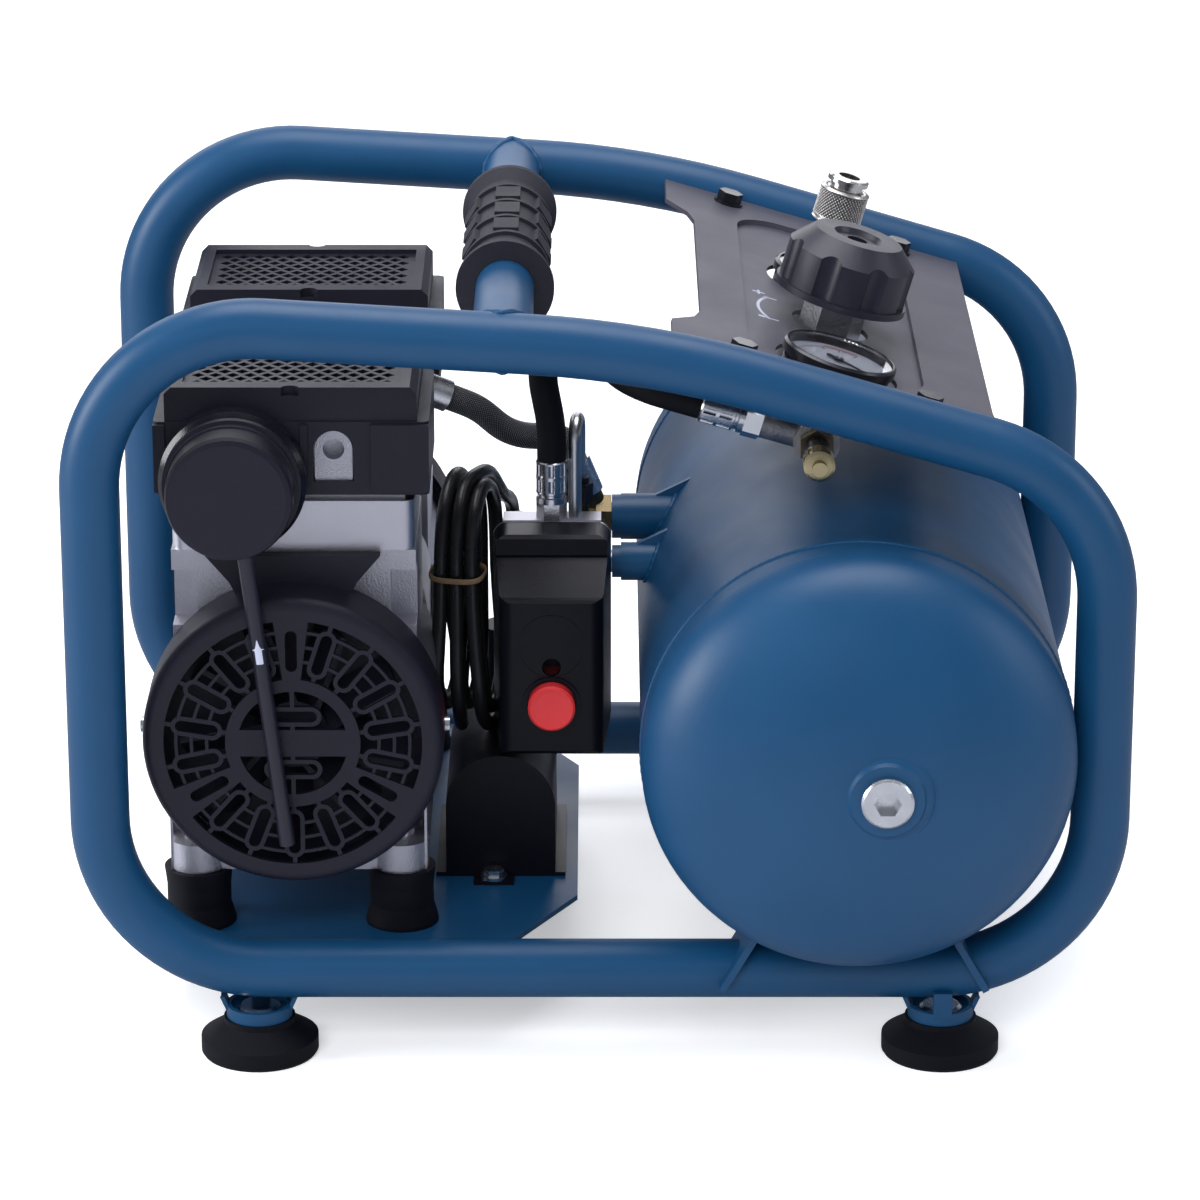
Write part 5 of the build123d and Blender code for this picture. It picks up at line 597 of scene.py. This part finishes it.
# ---------------------------------------------------------------- relief valve
# Small turned brass valve screwed into the manifold's front end. Its barrel, between the hexagon and
# the cap, is darker: the finish finds it by its place along the machine, in metres.
BARREL_Y, BARREL_HALF = -0.1257, 0.0077
CAP_COLOR, BARREL_COLOR = (0.5, 0.42, 0.24), (0.09, 0.075, 0.06)
VALVE_BRASS = finish_of("valve_brass", CAP_COLOR, 0.3, 1.0, grain=1500, relief=0.1, tone=0.1,
                        tone_scale=140)
wires = VALVE_BRASS.node_tree
where = wires.nodes.new("ShaderNodeTexCoord")
parts = wires.nodes.new("ShaderNodeSeparateXYZ")
barrel = wires.nodes.new("ShaderNodeMath")
barrel.operation = "COMPARE"
barrel.inputs[1].default_value = BARREL_Y
barrel.inputs[2].default_value = BARREL_HALF
wire(wires, (where.outputs["Object"], parts.inputs[0]), (parts.outputs["Y"], barrel.inputs[0]))
tone_and_shade_blend(VALVE_BRASS, barrel.outputs[0], CAP_COLOR, BARREL_COLOR)
dress(VALVE_BRASS, "safety_valve")

# ---------------------------------------------------------------- air lines
# Dull brass check valve in the tank's port, zinc-plated fittings, a bent alloy unloader tube and a
# rubber hose from switch to manifold. The delivery hose has a braid of fine steel wire, crimped into
# a ferrule at each end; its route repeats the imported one, drawn as tangent arcs.
HOSE_RADIUS = 6.0
HOSE_STEP = 0.5
HOSE_COLUMNS = 40
ARC_STEP = 1.0
ARC_SHARE = 0.45
BRAID_ANGLE, BRAID_SCALE = 45, 0.36
BRAID_RELIEF, BRAID_DEPTH = 0.9, 0.0005
BRAID_GAP, BRAID_WIRE = (0.05, 0.05, 0.052, 1), (0.48, 0.49, 0.5, 1)
STEADY = np.array([0.0, 1.0, 0.05])
OUTLET, OUTLET_FITTING, OUTLET_RUN = np.array([-78.85, 0, 256.5]), 12, 14.5
UNION, UNION_FITTING, UNION_RUN = np.array([-5.4, 23.9, 199.5]), 16.5, 12.4
HOSE_MIDDLE = (-40, 13, 230)
outlet_lean = np.array([0.901, 0.160, -0.401])
outlet_lean /= np.linalg.norm(outlet_lean)
union_lean = np.array([-0.377, -0.034, 0.925])
union_lean /= np.linalg.norm(union_lean)
braid_start = OUTLET + OUTLET_FITTING * outlet_lean
braid_end = UNION + UNION_FITTING * union_lean
braid_route = [braid_start, braid_start + OUTLET_RUN * outlet_lean, HOSE_MIDDLE,
               braid_end + UNION_RUN * union_lean, braid_end]
OLD_BRASS = finish_of("dull_brass", (0.15, 0.115, 0.065), 0.36, 1.0, grain=1200, relief=0.3, tone=0.25,
                      tone_scale=160)
dress(OLD_BRASS, "check_valve")
dress(ZINC, "line_fittings", "braided_hose")
dress(ALLOY_TUBE, "unloader_tube")
dress(RUBBER, "rubber_hose")


def filleted(corners, radii):
    """Open line through corners with an arc at each inner one: its centre lies on the bisector, a
    radius over the sine of half the angle away, and its points are blended by sines of the sweep."""
    corners = [np.array(c, float) for c in corners]
    line = [corners[0][None]]
    for before, corner, after, radius in zip(corners, corners[1:], corners[2:], radii):
        a = (before - corner) / np.linalg.norm(before - corner)
        b = (after - corner) / np.linalg.norm(after - corner)
        half = math.acos(float(np.clip(a @ b, -1, 1))) / 2
        centre = corner + (a + b) / np.linalg.norm(a + b) * radius / math.sin(half)
        reach = radius / math.tan(half)
        first, last = corner + a * reach - centre, corner + b * reach - centre
        sweep = math.pi - 2 * half
        t = np.linspace(0, 1, max(6, int(radius * sweep / ARC_STEP)))[:, None]
        line.append(centre + (np.sin((1 - t) * sweep) * first + np.sin(t * sweep) * last) / math.sin(sweep))
    line.append(corners[-1][None])
    return np.concatenate(line)


def easy_radii(points):
    """Arc radii of a hose: ARC_SHARE of the shorter run over the tangent of half the turn."""
    points = np.array(points, float)
    runs = np.diff(points, axis=0)
    lengths = np.linalg.norm(runs, axis=1)
    units = runs / lengths[:, None]
    turns = np.arccos(np.clip((units[:-1] * units[1:]).sum(1), -1, 1))
    return ARC_SHARE * np.minimum(lengths[:-1], lengths[1:]) / np.tan(turns / 2)


def swept(name, line, radius, material):
    """Round sleeve: a circle square to the line every HOSE_STEP, its sides steadied by one direction,
    with a UV map in mm along and round it."""
    gaps = np.linalg.norm(np.diff(line, axis=0), axis=1)
    travel = np.concatenate([[0], np.cumsum(gaps)])
    rows, columns = int(travel[-1] / HOSE_STEP), HOSE_COLUMNS + 1
    along = np.linspace(0, travel[-1], rows)
    line = np.stack([np.interp(along, travel, line[:, i]) for i in range(3)], axis=1)
    tangent = np.gradient(line, axis=0)
    tangent /= np.linalg.norm(tangent, axis=1)[:, None]
    side = np.cross(tangent, STEADY)
    side /= np.linalg.norm(side, axis=1)[:, None]
    other = np.cross(tangent, side)
    turn = np.linspace(0, 2 * math.pi, columns)
    ring = np.cos(turn)[None, :, None] * side[:, None] + np.sin(turn)[None, :, None] * other[:, None]
    points = (line[:, None] + radius * ring) * MM
    faces = grid_faces(rows, columns, False, False)
    faces += [list(range(HOSE_COLUMNS)), [(rows - 1) * columns + i for i in range(HOSE_COLUMNS)]]
    piece = mesh_piece(name, points.reshape(-1, 3), faces, material, closed=False)
    layer = piece.data.uv_layers.new(name="weave")
    uv = np.stack([np.repeat(along, columns), np.tile(turn * radius, rows)], axis=1)
    corner = np.empty(len(piece.data.loops), int)
    piece.data.loops.foreach_get("vertex_index", corner)
    layer.data.foreach_set("uv", uv[corner].ravel())
    close_up(piece.data)
    return piece


def weave_finish():
    """Fine steel braid: the product of two sets of waves, turned by BRAID_ANGLE each way on the
    sleeve's own UV map, gives both the relief and the mix from gap to wire."""
    material = finish_of("steel_braid", (0.30, 0.31, 0.32), 0.42, 1.0, grain=1500, relief=0.1)
    tree = material.node_tree
    shader = tree.nodes["Principled BSDF"]
    uv = tree.nodes.new("ShaderNodeUVMap")
    uv.uv_map = "weave"
    product = tree.nodes.new("ShaderNodeMath")
    product.operation = "MULTIPLY"
    for place, sign in enumerate((1, -1)):
        turned = tree.nodes.new("ShaderNodeMapping")
        turned.inputs["Rotation"].default_value = (0, 0, sign * math.radians(BRAID_ANGLE))
        strands = tree.nodes.new("ShaderNodeTexWave")
        strands.inputs["Scale"].default_value = BRAID_SCALE
        wire(tree, (uv.outputs["UV"], turned.inputs["Vector"]),
             (turned.outputs["Vector"], strands.inputs["Vector"]),
             (strands.outputs["Fac"], product.inputs[place]))
    bump = tree.nodes.new("ShaderNodeBump")
    bump.inputs["Strength"].default_value = BRAID_RELIEF
    bump.inputs["Distance"].default_value = BRAID_DEPTH
    shade = tree.nodes.new("ShaderNodeMix")
    shade.data_type = "RGBA"
    shade.inputs["A"].default_value = BRAID_GAP
    shade.inputs["B"].default_value = BRAID_WIRE
    wire(tree, (product.outputs[0], bump.inputs["Height"]),
         (bump.outputs["Normal"], shader.inputs["Normal"]),
         (product.outputs[0], shade.inputs["Factor"]),
         (shade.outputs["Result"], shader.inputs["Base Color"]))
    return material


braided_hose = swept("delivery_hose", filleted(braid_route, easy_radii(braid_route)), HOSE_RADIUS,
                     weave_finish())
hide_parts("braided_hose")

# ---------------------------------------------------------------- power cord and plug
# Rubber-sheathed cord that leaves the switch rearwards through a moulded strain relief, turns up into
# a hank of five loose turns and drops to its moulded plug. A twisted paper wire ties the hank. The
# route's two leads are listed point by point, its turns by formula, and it is one smooth curve.
CORD_RADIUS = 3.25
SUPPLY_START = (-32, 16, 130)
SUPPLY = [SUPPLY_START, (-31.5, 34, 128), (-30, 53, 127), (-29, 67, 137), (-29.5, 71.5, 155)]
SUPPLY += [(-33, 64, 173), (-39.5, 46, 181), (-46, 27, 178.5), (-47.5, 14.5, 168)]
PLUG_TOP = (-39.85, 70.1, 132)
PLUG_LEAD = [(-53, -6.5, 219.5), (-49.5, 9.5, 214), (-46.5, 24, 203), (-44, 38, 193.5), (-42, 52, 188.5)]
PLUG_LEAD += [(-40.6, 63.5, 181), (-39.85, 70.1, 167), (-39.85, 70.1, 150), PLUG_TOP]
HANK_CENTRE = np.array([-58.05, -17, 163.15])
HANK_AHEAD = np.array([0.2045, 0.9789, 0])
HANK_UP = np.array([0, 0, 1.0])
HANK_ACROSS = np.cross(HANK_AHEAD, HANK_UP)
HANK_RADIUS = 31.4
HANK_HALF_STRAIGHT = 29.85
LIMB_STEPS, BEND_STEPS = 3, 5
TURN_STEPS = 2 * (LIMB_STEPS + BEND_STEPS)
HANK_FIRST, HANK_END = 2, 78
PLACE_STEPS = 14
FOOT_SPREAD = 0.45
# Each row is one turn's place: how far in it lies, how far across, and how much lower it hangs.
TURN_PLACES = np.array([(3.3, 6.9, 1.5), (10.2, 6.9, 0), (10.2, 0, -1), (10.2, -6.9, -0.5), (3.3, -6.9, 3),
                        (3.3, 0, 2.2)])
# Strain reliefs are turned from (radius, height) points: a foot, five tapering rings and a tip.
RELIEF_RINGS, RING_PITCH, RING_TAPER = 5, 4.0, 0.4
RELIEF_FOOT = [(0, 0), (5.6, 0), (6.0, 1.5)]
RELIEF_RING = [(5.6, 4.0), (4.5, 4.4), (4.4, 6.0), (5.5, 6.4)]
RELIEF_TIP = [(3.7, 25), (3.3, 26), (0, 26)]
RELIEF_SIDES = 48
SWITCH_RELIEF_LEAN = (0.02, 1, -0.1)
CORD_ORDER, CORD_RESOLUTION, CORD_SIDES = 3, 12, 5
TIE_PLACE = HANK_CENTRE - 24.8 * HANK_AHEAD + 20 * HANK_UP
TIE_HALF_WIDE, TIE_HALF_DEEP, TIE_RADIUS = 12.2, 8.6, 1.0
TIE_SQUARENESS, TIE_TILT, TIE_FLAT, TIE_TALL = 0.6, 1.6, 0.55, 1.3
TIE_STEPS, TIE_SIDES = 96, 12
CORD_BLACK = finish_of("cord_sheath", (0.006, 0.006, 0.007), 0.3, grain=1100, relief=0.16, tone=0.08)
TIE_BROWN = finish_of("paper_tie", (0.12, 0.08, 0.045), 0.7, grain=1500, relief=0.4, tone=0.2,
                      tone_scale=200)
dress(CORD_BLACK, "cord_coil", "power_cord")
dress(BLACK, "power_plug")


def hank_points():
    """Points round an upright oblong: straight limbs of even steps, and half circles by sine and
    cosine at its ends. A smoothed table moves the cord in, across and down from turn to turn, and the
    turns spread as the square of how low they hang."""
    place = TURN_PLACES[np.clip(np.arange(HANK_END + 2) // PLACE_STEPS, 0, len(TURN_PLACES) - 1)]
    place = 0.25 * place[:-2] + 0.5 * place[1:-1] + 0.25 * place[2:]
    count = np.arange(HANK_FIRST, HANK_END)
    inset, across, drop = place[count - 1].T
    step = count % TURN_STEPS
    radius = HANK_RADIUS - inset
    rise_start = LIMB_STEPS + BEND_STEPS
    rise_end = rise_start + LIMB_STEPS
    down, up = step < LIMB_STEPS, (step >= rise_start) & (step < rise_end)
    below = (step >= LIMB_STEPS) & (step < rise_start)
    turn = np.where(below, step - LIMB_STEPS, step - rise_end) / BEND_STEPS * math.pi
    fall = np.where(down, step / LIMB_STEPS, np.where(up, (step - rise_start) / LIMB_STEPS, 0))
    ahead = np.select([down, below, up], [radius, radius * np.cos(turn), -radius], -radius * np.cos(turn))
    high = np.select([down, below, up],
                     [HANK_HALF_STRAIGHT * (1 - 2 * fall), -HANK_HALF_STRAIGHT - radius * np.sin(turn),
                      HANK_HALF_STRAIGHT * (2 * fall - 1)], HANK_HALF_STRAIGHT + radius * np.sin(turn))
    low = np.select([down, below, up], [fall, 1, 1 - fall], 0)
    high = high - low * drop
    across = across * (1 + FOOT_SPREAD * low ** 2)
    return HANK_CENTRE + ahead[:, None] * HANK_AHEAD + high[:, None] * HANK_UP + across[:, None] * HANK_ACROSS


def curve_piece(name, points, radius, material):
    """Round NURBS curve with those points, in mm, as its control points."""
    curve = bpy.data.curves.new(name, "CURVE")
    curve.dimensions = "3D"
    spline = curve.splines.new("NURBS")
    spline.points.add(len(points) - 1)
    flat = np.ones((len(points), 4))
    flat[:, :3] = np.array(points, float) * MM
    spline.points.foreach_set("co", flat.ravel())
    spline.order_u = CORD_ORDER
    spline.use_endpoint_u = True
    curve.resolution_u = CORD_RESOLUTION
    curve.bevel_depth = radius * MM
    curve.bevel_resolution = CORD_SIDES
    curve.use_fill_caps = True
    piece = bpy.data.objects.new(name, curve)
    bpy.context.scene.collection.objects.link(piece)
    curve.materials.append(material)
    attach(piece, "frame")
    return piece


def tie_ring():
    """Flat wire round the hank's front limb: a squared oval, from sine and cosine raised to a power
    with their signs kept, tilted by a sine, with an oval section carried round it."""
    turn, side = full_turn(TIE_STEPS), full_turn(TIE_SIDES)
    across, ahead = (np.sign(v) * np.abs(v) ** TIE_SQUARENESS for v in (np.cos(turn), np.sin(turn)))
    line = TIE_PLACE + TIE_HALF_WIDE * across[:, None] * HANK_ACROSS \
        + TIE_HALF_DEEP * ahead[:, None] * HANK_AHEAD + TIE_TILT * np.sin(turn)[:, None] * HANK_UP
    outward = line - TIE_PLACE
    outward /= np.linalg.norm(outward, axis=1)[:, None]
    section = TIE_FLAT * np.cos(side)[None, :, None] * outward[:, None, :] \
        + TIE_TALL * np.sin(side)[None, :, None] * HANK_UP
    points = (line[:, None, :] + TIE_RADIUS * section) * MM
    return mesh_piece("cord_tie", points.reshape(-1, 3), grid_faces(TIE_STEPS, TIE_SIDES, True, True),
                      TIE_BROWN)


power_cord = curve_piece("power_cord_hank", np.concatenate([SUPPLY, hank_points(), PLUG_LEAD]), CORD_RADIUS,
                         CORD_BLACK)
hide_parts("power_cord", "cord_coil")
rings = [(wide - RING_TAPER * ring, high + RING_PITCH * ring)
         for ring in range(RELIEF_RINGS) for wide, high in RELIEF_RING]
relief_profile = RELIEF_FOOT + rings + RELIEF_TIP
switch_relief = lathe("switch_strain_relief", relief_profile, SUPPLY_START, SWITCH_RELIEF_LEAN, BLACK,
                      RELIEF_SIDES)
plug_relief = lathe("plug_strain_relief", relief_profile, PLUG_TOP, (0, 0, 1), BLACK,
                    RELIEF_SIDES)
tie_ring()

# ---------------------------------------------------------------- stage, light and camera
# A pale floor and a surround that is white to the camera and dim to the machine. The floor is grey
# where a surface mirrors it. Four soft lights and a fill that no surface mirrors shine on the machine,
# and the camera's place, dip and lens come from a perspective fit. Places here are in metres.
WORLD_COLOR = (0.86, 0.9, 1.0, 1)
WORLD_DIFFUSE, WORLD_GLOSSY = 0.28, 0.32
FLOOR_COLOR, FLOOR_MIRRORED = (0.92, 0.93, 0.95, 1), (0.42, 0.43, 0.47, 1)
FLOOR_ROUGH, FLOOR_SHINE, FLOOR_GLOW = 0.8, 0.1, 0.42
FLOOR_HALF = 6
CAMERA_PLACE, CAMERA_DIP, CAMERA_LENS, CAMERA_SENSOR = (0, -2.253, 0.9334), 19.04, 157.8, 36
scene = bpy.context.scene
scene.view_settings.view_transform = "Standard"
scene.view_settings.look = "None"
world = bpy.data.worlds.new("studio")
scene.world = world
world.use_nodes = True
sky = world.node_tree
lit = sky.nodes["Background"]
lit.inputs["Color"].default_value = WORLD_COLOR
ray = sky.nodes.new("ShaderNodeLightPath")
dim = sky.nodes.new("ShaderNodeMapRange")
dim.inputs["To Min"].default_value = WORLD_DIFFUSE
dim.inputs["To Max"].default_value = WORLD_GLOSSY
white = sky.nodes.new("ShaderNodeBackground")
white.inputs["Color"].default_value = (1, 1, 1, 1)
white.inputs["Strength"].default_value = 1.0
pick = sky.nodes.new("ShaderNodeMixShader")
wire(sky, (ray.outputs["Is Glossy Ray"], dim.inputs["Value"]),
     (dim.outputs["Result"], lit.inputs["Strength"]),
     (ray.outputs["Is Camera Ray"], pick.inputs[0]),
     (lit.outputs[0], pick.inputs[1]),
     (white.outputs[0], pick.inputs[2]),
     (pick.outputs[0], sky.nodes["World Output"].inputs["Surface"]))

floor_paint = bpy.data.materials.new("floor_paint")
floor_paint.use_nodes = True
paint = floor_paint.node_tree
floor_shader = paint.nodes["Principled BSDF"]
floor_shader.inputs["Roughness"].default_value = FLOOR_ROUGH
floor_shader.inputs["Specular IOR Level"].default_value = FLOOR_SHINE
floor_shader.inputs["Emission Color"].default_value = (1, 1, 1, 1)
floor_ray = paint.nodes.new("ShaderNodeLightPath")
shade = paint.nodes.new("ShaderNodeMix")
shade.data_type = "RGBA"
shade.inputs["A"].default_value = FLOOR_COLOR
shade.inputs["B"].default_value = FLOOR_MIRRORED
glow = paint.nodes.new("ShaderNodeMath")
glow.operation = "MULTIPLY"
glow.inputs[1].default_value = FLOOR_GLOW
wire(paint, (floor_ray.outputs["Is Glossy Ray"], shade.inputs["Factor"]),
     (shade.outputs["Result"], floor_shader.inputs["Base Color"]),
     (floor_ray.outputs["Is Camera Ray"], glow.inputs[0]),
     (glow.outputs[0], floor_shader.inputs["Emission Strength"]))
floor_mesh = bpy.data.meshes.new("floor")
floor_mesh.from_pydata([(-FLOOR_HALF, -FLOOR_HALF, 0), (FLOOR_HALF, -FLOOR_HALF, 0),
                        (FLOOR_HALF, FLOOR_HALF, 0), (-FLOOR_HALF, FLOOR_HALF, 0)], [], [(0, 1, 2, 3)])
floor_mesh.materials.append(floor_paint)
floor = bpy.data.objects.new("floor", floor_mesh)
scene.collection.objects.link(floor)


def soft_light(name, place, aim, size, power, color=(1, 1, 1)):
    """Rectangular lamp at a place whose -Z axis points from there to its aim."""
    light = bpy.data.lights.new(name, "AREA")
    light.shape = "RECTANGLE"
    light.size, light.size_y = size
    light.energy = power
    light.color = color
    lamp = bpy.data.objects.new(name, light)
    lamp.location = place
    lamp.rotation_mode = "QUATERNION"
    lamp.rotation_quaternion = (Vector(aim) - Vector(place)).to_track_quat("-Z", "Y")
    scene.collection.objects.link(lamp)
    return lamp


soft_light("overhead", (0.0, 0.15, 1.7), (0.0, 0, 0.15), (1.3, 1.1), 23, (0.94, 0.95, 1.0))
soft_light("back_sheen", (-0.5, 2.3, 1.25), (0, 0, 0.2), (2.6, 1.5), 20, (0.95, 0.95, 1.0))
soft_light("side_left", (-1.9, -0.35, 0.8), (0, 0, 0.15), (0.7, 1.1), 27, (0.96, 0.97, 1.0))
soft_light("side_right", (1.9, -0.2, 1.0), (0, 0, 0.15), (0.7, 1.1), 7, (0.9, 0.94, 1.0))
soft_light("front_fill", (-0.4, -2.2, 1.5), (0, 0, 0.12), (1.6, 1.2), 46).visible_glossy = False

camera_data = bpy.data.cameras.new("camera")
camera_data.sensor_width = CAMERA_SENSOR
camera_data.lens = CAMERA_LENS
camera = bpy.data.objects.new("camera", camera_data)
camera.location = CAMERA_PLACE
camera.rotation_euler = (math.radians(90 - CAMERA_DIP), 0, 0)
scene.collection.objects.link(camera)
scene.camera = camera
